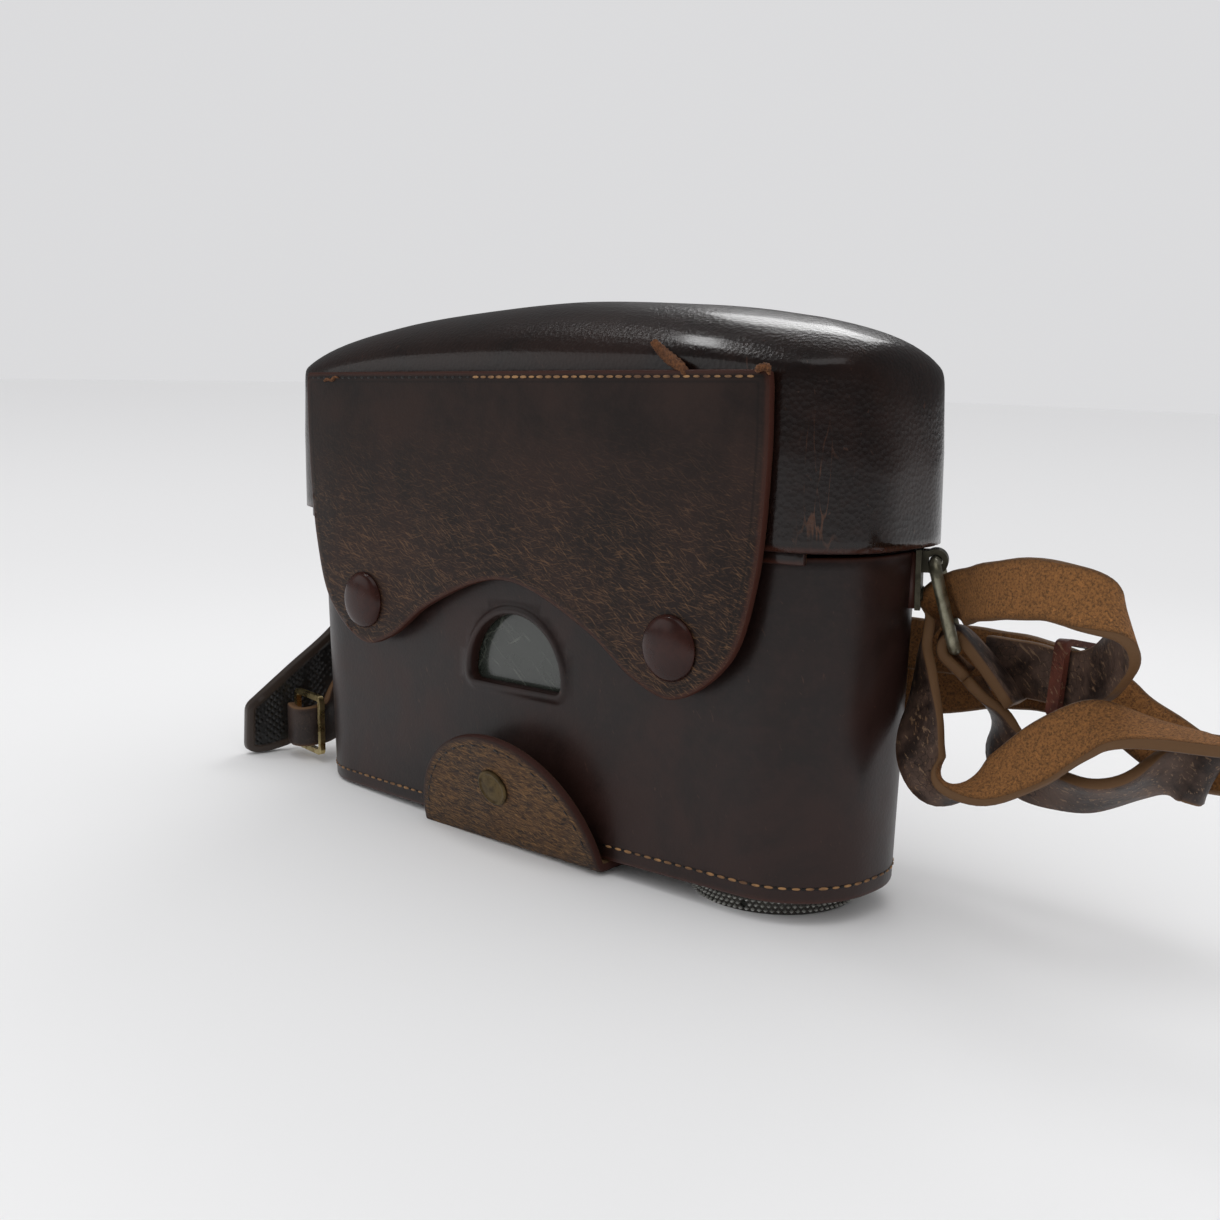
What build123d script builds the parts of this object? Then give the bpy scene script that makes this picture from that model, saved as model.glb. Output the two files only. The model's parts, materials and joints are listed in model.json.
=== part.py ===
from build123d import *
import math
import os

os.makedirs("parts", exist_ok=True)

# Leather camera case with a hinged lid, a snapped front flap, a carrying screw and a neck strap.
# Millimetres. X runs along the width, Y to the back, Z up. The origin is the middle of the flat base.

# Lower shell
body_height = 63.4
base_half_width = 74.5
rim_half_width = 77.5
body_half_depth = 19.0
body_end_radius = 17.5
body_bow = 1.4
leather = 2.2
fit = 0.1
lining = 0.8
tray_flange = 6.0

# Lid
lid_half_width = 80.5
lid_half_depth = 21.0
lid_end_radius = 16.0
lid_bow = 0.8
lid_edge = 64.6
lid_crown = 110.0
lid_arch = 14.6
lid_wall_top = lid_crown - lid_arch
tongue_drop = 2.4
tongue_half_width = 71.0
tongue_thickness = 1.0
vault_margin = 0.25
arch_sides = 20

# Back hinge strip
hinge_half_width = 58.0
hinge_drop = 15.0
hinge_corner = 0.9
hinge_z = 63.7

# Front flap
flap_half_width = 65.5
flap_top = lid_wall_top + 0.2
flap_thickness = 2.0
flap_gap = 0.2
seam_height = 2.8
flap_arch = 53.8

# Snap fasteners
snap_x = 44.8
snap_z = 45.4
lobe_x = snap_x + 0.7
lobe_bottom = snap_z - 9.6
cap_diameter = 12.5
cap_height = 2.2
stud_diameter = 4.2
snap_clearance = 0.4
socket_wall = 2.0
rivet_diameter = 2.4
rivet_tail = 0.7
flange_thickness = 0.5
flange_radius = 4.0
stud_lip = 0.4
socket_gap = 0.3
washer_height = 0.4

# Window in the lower shell
window_width = 26.6
window_height = 14.8
window_bottom = 31.6
window_corner = 3.0
window_margin = 3.0
pane_thickness = 0.5
pane_gap = 0.25
frame_thickness = 1.0
lining_relief = 1.2
rivet_relief = 4.6
lining_drop = 1.5
tray_wall = 1.6

# Front tab with its snap
tab_half_width = 26.0
tab_height = 25.5
tab_thickness = 2.0
tab_tilt = 16.0
tab_base_depth = 14.0
tab_snap_height = 14.4
tab_shoulder = 1.6
tab_corner = 3.0
tab_cap_diameter = 8.0
tab_cap_height = 0.9
tab_cap_rim = 1.2
tab_socket_height = 0.6
tab_stud_height = 1.0

# Carrying screw with its knob
screw_x = 52.3
screw_diameter = 6.35
knob_diameter = 32.0
knob_thickness = 3.5
knob_gap = 0.7
knob_chamfer = 0.5
knob_hollow = 0.5
knob_rim = 3.5
pin_hole_diameter = 1.5
pin_hole_depth = 3.0
pin_hole_angle = -75.0
washer_diameter = 16.0
washer_thickness = 0.5
washer_play = 0.15
screw_reach = 13.8
screw_travel = 2.4
screw_tip = 0.6
spigot_step = 0.8
spigot_length = 1.95
spigot_press = 0.05
groove_depth = 0.45
clip_thickness = 0.8
clip_rim = 1.6
clip_play = 0.1
bush_wall = 1.4
bush_play = 0.3
bush_flange = 3.6
screw_radius = screw_diameter / 2

# Strap lugs and rings
lug_angle = 28.0
lug_width = 9.0
lug_height = 11.0
lug_thickness = 1.0
lug_rivet_x = 1.8
lug_rivet_rise = 2.6
lug_rivet_diameter = 2.4
lug_rivet_height = 0.35
lug_gap = 0.15
lug_wall = 1.0
lug_rib_step = 0.6
ring_z = 61.4
ring_stand_off = 3.5
ring_wire = 1.8
ring_width = 13.6
ring_length = 16.0
ring_corner = 2.6
ring_tilt = 15.0
ring_clearance = 0.4

# Neck strap and shoulder pad
strap_width = 10.0
strap_thickness = 2.0
keeper_wall = 1.1
keeper_length = 3.0
keeper_play = 1.8
keeper_corner = 0.6
pad_thickness = 3.0
loop_size = 14.8
loop_wire = 1.3
loop_corner = 1.6


# Plan outline with straight ends and round corners; the front bows outward.
def outline(half_width, half_depth, radius, bow):
    x = half_width - radius
    y = half_depth - radius
    slant = radius * math.sqrt(0.5)
    with BuildSketch() as plan:
        with BuildLine():
            Line((-x, half_depth), (x, half_depth))
            ThreePointArc((x, half_depth), (x + slant, y + slant), (half_width, y))
            Line((half_width, y), (half_width, -y))
            ThreePointArc((half_width, -y), (x + slant, -y - slant), (x, -half_depth))
            ThreePointArc((x, -half_depth), (0, -half_depth - bow), (-x, -half_depth))
            ThreePointArc((-x, -half_depth), (-x - slant, -y - slant), (-half_width, -y))
            Line((-half_width, -y), (-half_width, y))
            ThreePointArc((-half_width, y), (-x - slant, y + slant), (-x, half_depth))
        make_face()
    return plan.sketch


# Half width of the lower shell at a height, because its ends lean outward.
def half_width_at(z):
    return base_half_width + (rim_half_width - base_half_width) * z / body_height


# Front face of the lower shell at a place along the width.
def front_at(x, z):
    chord = half_width_at(z) - body_end_radius
    radius = (chord**2 + body_bow**2) / (2 * body_bow)
    return -body_half_depth - body_bow + radius - math.sqrt(radius**2 - x**2)


# A block with the outline of the lower shell, drawn in by a wall's thickness.
def shell_block(inset, z_low, z_high):
    with BuildPart() as block:
        for z in (z_low, z_high):
            with BuildSketch(Plane.XY.offset(z)):
                add(
                    outline(
                        half_width_at(z) - inset,
                        body_half_depth - inset,
                        body_end_radius - inset,
                        body_bow,
                    )
                )
        loft(ruled=True)
    return block.part


# The D shape of the window, grown by a margin all round.
def window_shape(margin):
    half = window_width / 2 + margin
    low = window_bottom - margin
    shoulder = window_bottom + window_corner
    top = window_bottom + window_height + margin
    with BuildSketch() as shape:
        with BuildLine():
            Line((-half, low), (half, low))
            Line((half, low), (half, shoulder))
            ThreePointArc((half, shoulder), (0, top), (-half, shoulder))
            Line((-half, shoulder), (-half, low))
        make_face()
    return shape.sketch


# A plane that faces the front, at a depth: local x is X and local y is Z.
def front_plane(y):
    return Plane(origin=(0, y, 0), x_dir=(1, 0, 0), z_dir=(0, -1, 0))


# A strap follows places along its middle line, each with the direction of its width.
def strap_corners(stations):
    points = [Vector(*s[:3]) for s in stations]
    rows = []
    for i, s in enumerate(stations):
        ahead = points[min(i + 1, len(points) - 1)] - points[min(i, len(points) - 2)]
        behind = points[max(i, 1)] - points[max(i - 1, 0)]
        along = (ahead.normalized() + behind.normalized()).normalized()
        across = Vector(*s[3:])
        across = (across - along * across.dot(along)).normalized()
        side = across * (strap_width / 2)
        up = along.cross(across) * (strap_thickness / 2)
        rows.append([points[i] + side * a + up * b for a, b in ((-1, -1), (1, -1), (1, 1), (-1, 1))])
    return rows


def strap_solid(stations):
    rows = strap_corners(stations)
    corners = [tuple(rows[0][::-1]), tuple(rows[-1])]
    triangles = [(q[0], q[1], q[2]) for q in corners] + [(q[0], q[2], q[3]) for q in corners]
    for near, far in zip(rows, rows[1:]):
        for k in range(4):
            n = (k + 1) % 4
            triangles.append((near[k], near[n], far[n]))
            triangles.append((near[k], far[n], far[k]))
    faces = [Face(Wire.make_polygon(list(t), close=True)) for t in triangles]
    return Solid(Shell(faces))


# Length of a strap along its middle line.
def route_length(stations):
    points = [Vector(*s[:3]) for s in stations]
    return sum((b - a).length for a, b in zip(points, points[1:]))


front = front_at(0, snap_z)
snap_front = front_at(snap_x, snap_z)
lining_inset = leather + fit
window_inside = front + leather

with BuildPart() as body_shell:
    add(shell_block(0, 0, body_height))
    add(shell_block(leather, -1, body_height + 1), mode=Mode.SUBTRACT)
    with BuildSketch(front_plane(0)):
        add(window_shape(0))
    extrude(amount=body_half_depth + 5, mode=Mode.SUBTRACT)
    with BuildSketch(front_plane(0)):
        with Locations((-snap_x, snap_z), (snap_x, snap_z)):
            Circle(rivet_diameter / 2)
        with Locations((0, tab_snap_height - tab_thickness)):
            Circle(rivet_diameter / 2)
    extrude(amount=body_half_depth + 5, mode=Mode.SUBTRACT)
body_shell.part.label = "body_shell"
export_step(body_shell.part, "parts/body_shell.step")

with BuildPart() as bottom_panel:
    add(shell_block(lining_inset, 0, tray_flange + leather))
    add(shell_block(lining_inset + tray_wall, leather, tray_flange + leather + 1), mode=Mode.SUBTRACT)
    with Locations((screw_x, 0, leather)):
        Hole(screw_radius + bush_wall + fit, depth=leather + 1)
bottom_panel.part.label = "bottom_panel"
export_step(bottom_panel.part, "parts/bottom_panel.step")

base_pad_top = leather + fit + lining
with BuildPart() as base_pad:
    add(shell_block(lining_inset + tray_wall + fit, leather + fit, base_pad_top))
    with Locations((screw_x, 0, base_pad_top)):
        Hole(screw_radius + bush_flange + 4 * fit, depth=2 * lining)
base_pad.part.label = "base_pad"
export_step(base_pad.part, "parts/base_pad.step")

with BuildPart() as body_lining:
    low = tray_flange + leather + 3 * fit
    add(shell_block(lining_inset, low, body_height - lining_drop))
    add(shell_block(lining_inset + lining, low - 1, body_height), mode=Mode.SUBTRACT)
    with BuildSketch(front_plane(0)):
        add(window_shape(window_margin + lining_relief))
        with Locations((-snap_x, snap_z), (snap_x, snap_z), (0, tab_snap_height - tab_thickness)):
            Circle(rivet_relief)
    extrude(amount=body_half_depth + 5, mode=Mode.SUBTRACT)
body_lining.part.label = "body_lining"
export_step(body_lining.part, "parts/body_lining.step")

with BuildPart() as window_pane:
    with BuildSketch(front_plane(window_inside + pane_gap)):
        add(window_shape(window_margin))
    extrude(amount=-pane_thickness)
window_pane.part.label = "window_pane"
export_step(window_pane.part, "parts/window_pane.step")

with BuildPart() as window_frame:
    with BuildSketch(front_plane(window_inside + pane_gap + pane_thickness + fit)):
        add(window_shape(window_margin))
        add(window_shape(0), mode=Mode.SUBTRACT)
    extrude(amount=-frame_thickness)
window_frame.part.label = "window_frame"
export_step(window_frame.part, "parts/window_frame.step")

# The lower part of the back hinge is sewn outside the shell and ends at the hinge line.
hinge_y = lid_half_depth
with BuildPart() as hinge_strip:
    with BuildSketch(front_plane(body_half_depth + fit)):
        with Locations((0, hinge_z - fit - hinge_drop / 2)):
            RectangleRounded(2 * hinge_half_width, hinge_drop, hinge_corner)
    extrude(amount=-(hinge_y - body_half_depth - fit))
hinge_strip.part.label = "hinge_strip"
export_step(hinge_strip.part, "parts/hinge_strip.step")


# Arched cross-sections along the width make the domed lid. Each has its place as a share of the
# half width, the drop of its walls below the highest ones and the share of the full arch.
def lid_block(inset, floor_z, arches, sides):
    spread = [(-share, drop, rise) for share, drop, rise in arches]
    spread += [(share, drop, rise) for share, drop, rise in reversed(arches[:-1])]
    middle = -lid_bow / 2
    half = lid_half_depth + lid_bow / 2 - inset + vault_margin
    below = floor_z - 1
    with BuildPart() as block:
        for share, drop, rise in spread:
            wall_top = lid_wall_top - drop
            across = Plane(
                origin=(share * (lid_half_width - inset + vault_margin), 0, 0),
                x_dir=(0, 1, 0),
                z_dir=(1, 0, 0),
            )
            height = rise * lid_arch - inset
            turns = [math.pi * k / sides for k in range(sides + 1)]
            arch = [(middle + half * math.cos(t), wall_top + height * math.sin(t)) for t in turns]
            with BuildSketch(across):
                with BuildLine():
                    Polyline((middle - half, below), (middle + half, below), *arch, close=True)
                make_face()
        loft(ruled=True)
        with BuildSketch(Plane.XY.offset(floor_z)):
            add(
                outline(
                    lid_half_width - inset,
                    lid_half_depth - inset,
                    lid_end_radius - inset,
                    lid_bow,
                )
            )
        extrude(amount=lid_crown, mode=Mode.INTERSECT)
    return block.part


lid_arches = [
    (1.0, 22.0, 0.863),
    (0.985, 15.0, 1.034),
    (0.95, 9.0, 0.973),
    (0.86, 5.0, 0.904),
    (0.62, 1.6, 0.886),
    (0.0, 0.0, 1.0),
]
lining_arches = [lid_arches[0], lid_arches[2], lid_arches[3], lid_arches[5]]
tongue_low = lid_edge - tongue_drop
with BuildPart() as lid_shell:
    add(lid_block(0, tongue_low, lid_arches, arch_sides))
    add(lid_block(leather, tongue_low - 1, lid_arches, arch_sides), mode=Mode.SUBTRACT)
    with BuildSketch(Plane.XY.offset(tongue_low - 1)):
        Rectangle(3 * lid_half_width, 4 * lid_half_depth)
        with Locations((0, -lid_half_depth)):
            Rectangle(2 * tongue_half_width, 2 * body_half_depth, mode=Mode.SUBTRACT)
        with Locations((0, lid_half_depth)):
            Rectangle(2 * hinge_half_width, 2 * leather, mode=Mode.SUBTRACT)
    extrude(amount=tongue_drop + 1, mode=Mode.SUBTRACT)
    with BuildSketch(Plane.XY.offset(tongue_low - 1)):
        add(
            outline(
                lid_half_width - tongue_thickness,
                lid_half_depth - tongue_thickness,
                lid_end_radius - tongue_thickness,
                lid_bow,
            )
        )
        with Locations((0, lid_half_depth)):
            Rectangle(3 * lid_half_width, 2 * lid_half_depth, mode=Mode.SUBTRACT)
    extrude(amount=tongue_drop + 1, mode=Mode.SUBTRACT)
    with Locations((0, lid_half_depth, tongue_low - 1)):
        Box(
            2 * hinge_half_width,
            2 * (leather + fit),
            hinge_z + fit - tongue_low + 1,
            align=(Align.CENTER, Align.CENTER, Align.MIN),
            mode=Mode.SUBTRACT,
        )
lid_shell.part.label = "lid_shell"
export_step(lid_shell.part, "parts/lid_shell.step")

with BuildPart() as lid_lining:
    add(lid_block(lining_inset, lid_edge + lining_drop, lining_arches, arch_sides // 2))
    add(lid_block(lining_inset + lining, lid_edge, lining_arches, arch_sides // 2), mode=Mode.SUBTRACT)
lid_lining.part.label = "lid_lining"
export_step(lid_lining.part, "parts/lid_lining.step")

# The flap is sewn to the lid along its top edge and bends just below the seam.
flap_inner = -(lid_half_depth + lid_bow + flap_gap)
flap_outer = flap_inner - flap_thickness
flap_hinge_z = flap_top - seam_height - fit

with BuildPart() as flap_seam:
    with BuildSketch(front_plane(flap_inner)):
        with Locations((0, flap_top - seam_height / 2)):
            Rectangle(2 * flap_half_width, seam_height)
    extrude(amount=flap_thickness)
flap_seam.part.label = "flap_seam"
export_step(flap_seam.part, "parts/flap_seam.step")

flap_side = [
    (flap_half_width, flap_hinge_z - fit),
    (flap_half_width - 0.2, lobe_bottom + 44.2),
    (flap_half_width - 2.6, lobe_bottom + 22.2),
    (flap_half_width - 7.8, lobe_bottom + 8.2),
    (lobe_x, lobe_bottom),
]
flap_inside = [
    (lobe_x, lobe_bottom),
    (lobe_x - 9.4, lobe_bottom + 2.3),
    (lobe_x - 22.5, lobe_bottom + 10.6),
    (0, flap_arch),
]
with BuildPart() as flap_panel:
    with BuildSketch(front_plane(flap_inner)):
        with BuildLine():
            Line((-flap_side[0][0], flap_side[0][1]), flap_side[0])
            Spline(*flap_side, tangents=[(0, -1), (-1, 0)])
            Spline(*flap_inside, tangents=[(-1, 0), (-1, 0)])
            Spline(*[(-x, z) for x, z in reversed(flap_inside)], tangents=[(-1, 0), (-1, 0)])
            Spline(*[(-x, z) for x, z in reversed(flap_side)], tangents=[(-1, 0), (0, 1)])
        make_face()
        with Locations((-snap_x, snap_z), (snap_x, snap_z)):
            Circle(rivet_diameter / 2 + fit, mode=Mode.SUBTRACT)
    extrude(amount=flap_thickness)
flap_panel.part.label = "flap_panel"
export_step(flap_panel.part, "parts/flap_panel.step")

# Each snap: a domed cap and a socket on the flap, a stud and its washer on the lower shell.
cap_radius = cap_diameter / 2
socket_radius = stud_diameter / 2 + snap_clearance + socket_wall
stud_base = snap_front - 2 * fit
stud_tip = flap_inner + socket_gap
for side, x in (("left", -snap_x), ("right", snap_x)):
    cap_name = f"snap_cap_{side}"
    with BuildPart() as snap_cap:
        profile = Plane(origin=(x, flap_outer, snap_z), x_dir=(1, 0, 0), z_dir=(0, 0, 1))
        with BuildSketch(profile):
            with BuildLine():
                Polyline(
                    (0, 0.5),
                    (rivet_diameter / 2, 0.5),
                    (rivet_diameter / 2, -fit),
                    (cap_radius, -fit),
                    (cap_radius, -fit - 0.4),
                    (cap_radius * 0.9, -cap_height * 0.6),
                    (cap_radius * 0.7, -cap_height * 0.84),
                    (cap_radius * 0.4, -cap_height * 0.97),
                    (0, -cap_height),
                    close=True,
                )
            make_face()
        revolve(axis=Axis((x, flap_outer, snap_z), (0, 1, 0)))
    snap_cap.part.label = cap_name
    export_step(snap_cap.part, f"parts/{cap_name}.step")

    socket_name = f"snap_socket_{side}"
    with BuildPart() as snap_socket:
        with BuildSketch(front_plane(flap_inner)):
            with Locations((x, snap_z)):
                Circle(socket_radius)
                Circle(stud_diameter / 2 + snap_clearance, mode=Mode.SUBTRACT)
        extrude(amount=-(stud_base - flange_thickness - socket_gap - flap_inner))
        chamfer(snap_socket.edges().filter_by(GeomType.CIRCLE).group_by(Axis.Y)[-1], 0.3)
    snap_socket.part.label = socket_name
    export_step(snap_socket.part, f"parts/{socket_name}.step")

    stud_name = f"snap_stud_{side}"
    with BuildPart() as snap_stud:
        profile = Plane(origin=(x, stud_base, snap_z), x_dir=(1, 0, 0), z_dir=(0, 0, 1))
        reach = stud_tip - stud_base
        neck = stud_diameter / 2 - stud_lip
        with BuildSketch(profile):
            with BuildLine():
                Polyline(
                    (0, leather + fit + rivet_tail),
                    (rivet_diameter / 2 - fit, leather + fit + rivet_tail),
                    (rivet_diameter / 2 - fit, 0),
                    (flange_radius, 0),
                    (flange_radius, -flange_thickness),
                    (neck, -flange_thickness),
                    (neck, reach + 0.9),
                    (stud_diameter / 2, reach + 0.6),
                    (stud_diameter / 2, reach + 0.3),
                    (stud_diameter / 2 - 0.3, reach),
                    (0, reach),
                    close=True,
                )
            make_face()
        revolve(axis=Axis((x, stud_base, snap_z), (0, 1, 0)))
    snap_stud.part.label = stud_name
    export_step(snap_stud.part, f"parts/{stud_name}.step")

    washer_name = f"stud_washer_{side}"
    with BuildPart() as stud_washer:
        with BuildSketch(front_plane(snap_front + leather + 2 * fit)):
            with Locations((x, snap_z)):
                Circle(flange_radius)
                Circle(rivet_diameter / 2, mode=Mode.SUBTRACT)
        extrude(amount=-washer_height)
    stud_washer.part.label = washer_name
    export_step(stud_washer.part, f"parts/{washer_name}.step")

# The tab turns about the lower front corner of its sewn base and leans outward.
tab_y = -body_half_depth - body_bow - fit
tab_z = -tab_thickness
tilt = math.radians(tab_tilt)
tab_up = (0, -math.sin(tilt), math.cos(tilt))
tab_out = (0, -math.cos(tilt), -math.sin(tilt))
tab_plane = Plane(origin=(0, tab_y, tab_z), x_dir=(1, 0, 0), z_dir=tab_out)

with BuildPart() as tab_base:
    with BuildSketch(Plane.XY.offset(-tab_thickness)):
        with Locations((0, tab_y + tab_base_depth / 2)):
            Rectangle(2 * tab_half_width, tab_base_depth)
    extrude(amount=tab_thickness - fit)
    fillet(tab_base.edges().filter_by(Axis.Z).group_by(Axis.Y)[-1], tab_corner)
tab_base.part.label = "tab_base"
export_step(tab_base.part, "parts/tab_base.step")

with BuildPart() as tab_leather:
    with BuildSketch(tab_plane):
        with BuildLine():
            Line((-tab_half_width, 2 * fit), (tab_half_width, 2 * fit))
            Line((tab_half_width, 2 * fit), (tab_half_width, tab_shoulder))
            ThreePointArc((tab_half_width, tab_shoulder), (0, tab_height), (-tab_half_width, tab_shoulder))
            Line((-tab_half_width, tab_shoulder), (-tab_half_width, 2 * fit))
        make_face()
        with Locations((0, tab_snap_height)):
            Circle(rivet_diameter / 2 + fit, mode=Mode.SUBTRACT)
    extrude(amount=tab_thickness)
tab_leather.part.label = "tab_leather"
export_step(tab_leather.part, "parts/tab_leather.step")

tab_cap_plane = tab_plane.offset(tab_thickness)
with BuildPart() as tab_cap:
    with BuildSketch(tab_cap_plane):
        with Locations((0, tab_snap_height)):
            Circle(tab_cap_diameter / 2)
    extrude(amount=tab_cap_height)
    with BuildSketch(tab_cap_plane.offset(tab_cap_height)):
        with Locations((0, tab_snap_height)):
            Circle(tab_cap_diameter / 2 - tab_cap_rim)
    extrude(amount=-tab_cap_height / 2, mode=Mode.SUBTRACT)
    with BuildSketch(tab_cap_plane):
        with Locations((0, tab_snap_height)):
            Circle(rivet_diameter / 2)
    extrude(amount=-tab_thickness)
    rim = tab_cap.edges().filter_by(GeomType.CIRCLE).sort_by(Axis(tab_plane.origin, tab_out))[-2:]
    chamfer(rim, tab_cap_height / 4)
tab_cap.part.label = "tab_cap"
export_step(tab_cap.part, "parts/tab_cap.step")

with BuildPart() as tab_socket:
    with BuildSketch(tab_plane):
        with Locations((0, tab_snap_height)):
            Circle(tab_cap_diameter / 2 - stud_lip)
            Circle(stud_diameter / 2 + snap_clearance, mode=Mode.SUBTRACT)
    extrude(amount=-tab_socket_height)
tab_socket.part.label = "tab_socket"
export_step(tab_socket.part, "parts/tab_socket.step")

tab_stud_z = tab_z + tab_snap_height
tab_stud_y = front_at(0, tab_stud_z)
with BuildPart() as tab_stud:
    profile = Plane(origin=(0, tab_stud_y, tab_stud_z), x_dir=(1, 0, 0), z_dir=(0, 0, 1))
    with BuildSketch(profile):
        with BuildLine():
            Polyline(
                (0, leather + rivet_tail - fit),
                (rivet_diameter / 2 - fit, leather + rivet_tail - fit),
                (rivet_diameter / 2 - fit, 0),
                (stud_diameter / 2 - 3 * fit, 0),
                (stud_diameter / 2 - 3 * fit, -tab_stud_height * 0.5),
                (stud_diameter / 2, -tab_stud_height * 0.7),
                (stud_diameter / 2 - 2 * fit, -tab_stud_height),
                (0, -tab_stud_height),
                close=True,
            )
        make_face()
    revolve(axis=Axis((0, tab_stud_y, tab_stud_z), (0, 1, 0)))
tab_stud.part.label = "tab_stud"
export_step(tab_stud.part, "parts/tab_stud.step")

# The carrying screw: knob below the base, a loose washer, a bush in the leather and a keeper clip.
knob_top = -knob_gap
knob_low = knob_top - knob_thickness
spigot_radius = screw_radius - spigot_step
groove_radius = screw_radius - groove_depth
clip_low = base_pad_top + screw_travel + 2 * fit

with BuildPart() as screw_knob:
    with BuildSketch(Plane.XY.offset(knob_low)):
        with Locations((screw_x, 0)):
            Circle(knob_diameter / 2)
    extrude(amount=knob_thickness)
    chamfer(screw_knob.edges().filter_by(GeomType.CIRCLE), knob_chamfer)
    with BuildSketch(Plane.XY.offset(knob_low)):
        with Locations((screw_x, 0)):
            Circle(knob_diameter / 2 - knob_rim)
    extrude(amount=knob_hollow, mode=Mode.SUBTRACT)
    with BuildSketch(Plane.XY.offset(knob_top)):
        with Locations((screw_x, 0)):
            Circle(spigot_radius + spigot_press)
    extrude(amount=-spigot_length, mode=Mode.SUBTRACT)
    pin_hole = Plane(
        origin=(screw_x, 0, (knob_low + knob_top) / 2),
        x_dir=(0, 0, 1),
        z_dir=(math.cos(math.radians(pin_hole_angle)), math.sin(math.radians(pin_hole_angle)), 0),
    )
    with BuildSketch(pin_hole.offset(knob_diameter / 2 + 1)):
        Circle(pin_hole_diameter / 2)
    extrude(amount=-pin_hole_depth - 1, mode=Mode.SUBTRACT)
screw_knob.part.label = "screw_knob"
export_step(screw_knob.part, "parts/screw_knob.step")

with BuildPart() as screw_shank:
    with BuildSketch(Plane(origin=(screw_x, 0, 0), x_dir=(1, 0, 0), z_dir=(0, -1, 0))):
        with BuildLine():
            Polyline(
                (0, knob_top - spigot_length + fit / 2),
                (spigot_radius, knob_top - spigot_length + fit / 2),
                (spigot_radius, knob_top + fit / 2),
                (screw_radius, knob_top + fit / 2),
                (screw_radius, clip_low),
                (groove_radius, clip_low),
                (groove_radius, clip_low + clip_thickness),
                (screw_radius, clip_low + clip_thickness),
                (screw_radius, screw_reach - screw_tip),
                (screw_radius - screw_tip, screw_reach),
                (0, screw_reach),
                close=True,
            )
        make_face()
    revolve(axis=Axis((screw_x, 0, 0), (0, 0, 1)))
screw_shank.part.label = "screw_shank"
export_step(screw_shank.part, "parts/screw_shank.step")

with BuildPart() as keeper_clip:
    with BuildSketch(Plane.XY.offset(clip_low + clip_play)):
        with Locations((screw_x, 0)):
            Circle(screw_radius + clip_rim)
            Circle(groove_radius + clip_play / 2, mode=Mode.SUBTRACT)
    extrude(amount=clip_thickness - 2 * clip_play)
keeper_clip.part.label = "keeper_clip"
export_step(keeper_clip.part, "parts/keeper_clip.step")

with BuildPart() as knob_washer:
    with BuildSketch(Plane.XY.offset(-fit - washer_thickness)):
        with Locations((screw_x, 0)):
            Circle(washer_diameter / 2)
            Circle(screw_radius + washer_play, mode=Mode.SUBTRACT)
    extrude(amount=washer_thickness)
knob_washer.part.label = "knob_washer"
export_step(knob_washer.part, "parts/knob_washer.step")

with BuildPart() as screw_bush:
    with BuildSketch(Plane.XY):
        with Locations((screw_x, 0)):
            Circle(screw_radius + bush_wall)
            Circle(screw_radius + bush_play, mode=Mode.SUBTRACT)
    extrude(amount=leather + fit)
    with BuildSketch(Plane.XY.offset(leather + fit)):
        with Locations((screw_x, 0)):
            Circle(screw_radius + bush_flange)
            Circle(screw_radius + bush_play, mode=Mode.SUBTRACT)
    extrude(amount=flange_thickness)
screw_bush.part.label = "screw_bush"
export_step(screw_bush.part, "parts/screw_bush.step")

# Lugs sit on the rounded ends, turned a little to the back, and the rings hang from them.
turn = math.radians(lug_angle)
wall_x = half_width_at(ring_z) - body_end_radius + body_end_radius * math.cos(turn)
wall_y = body_half_depth - body_end_radius + body_end_radius * math.sin(turn)

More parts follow.
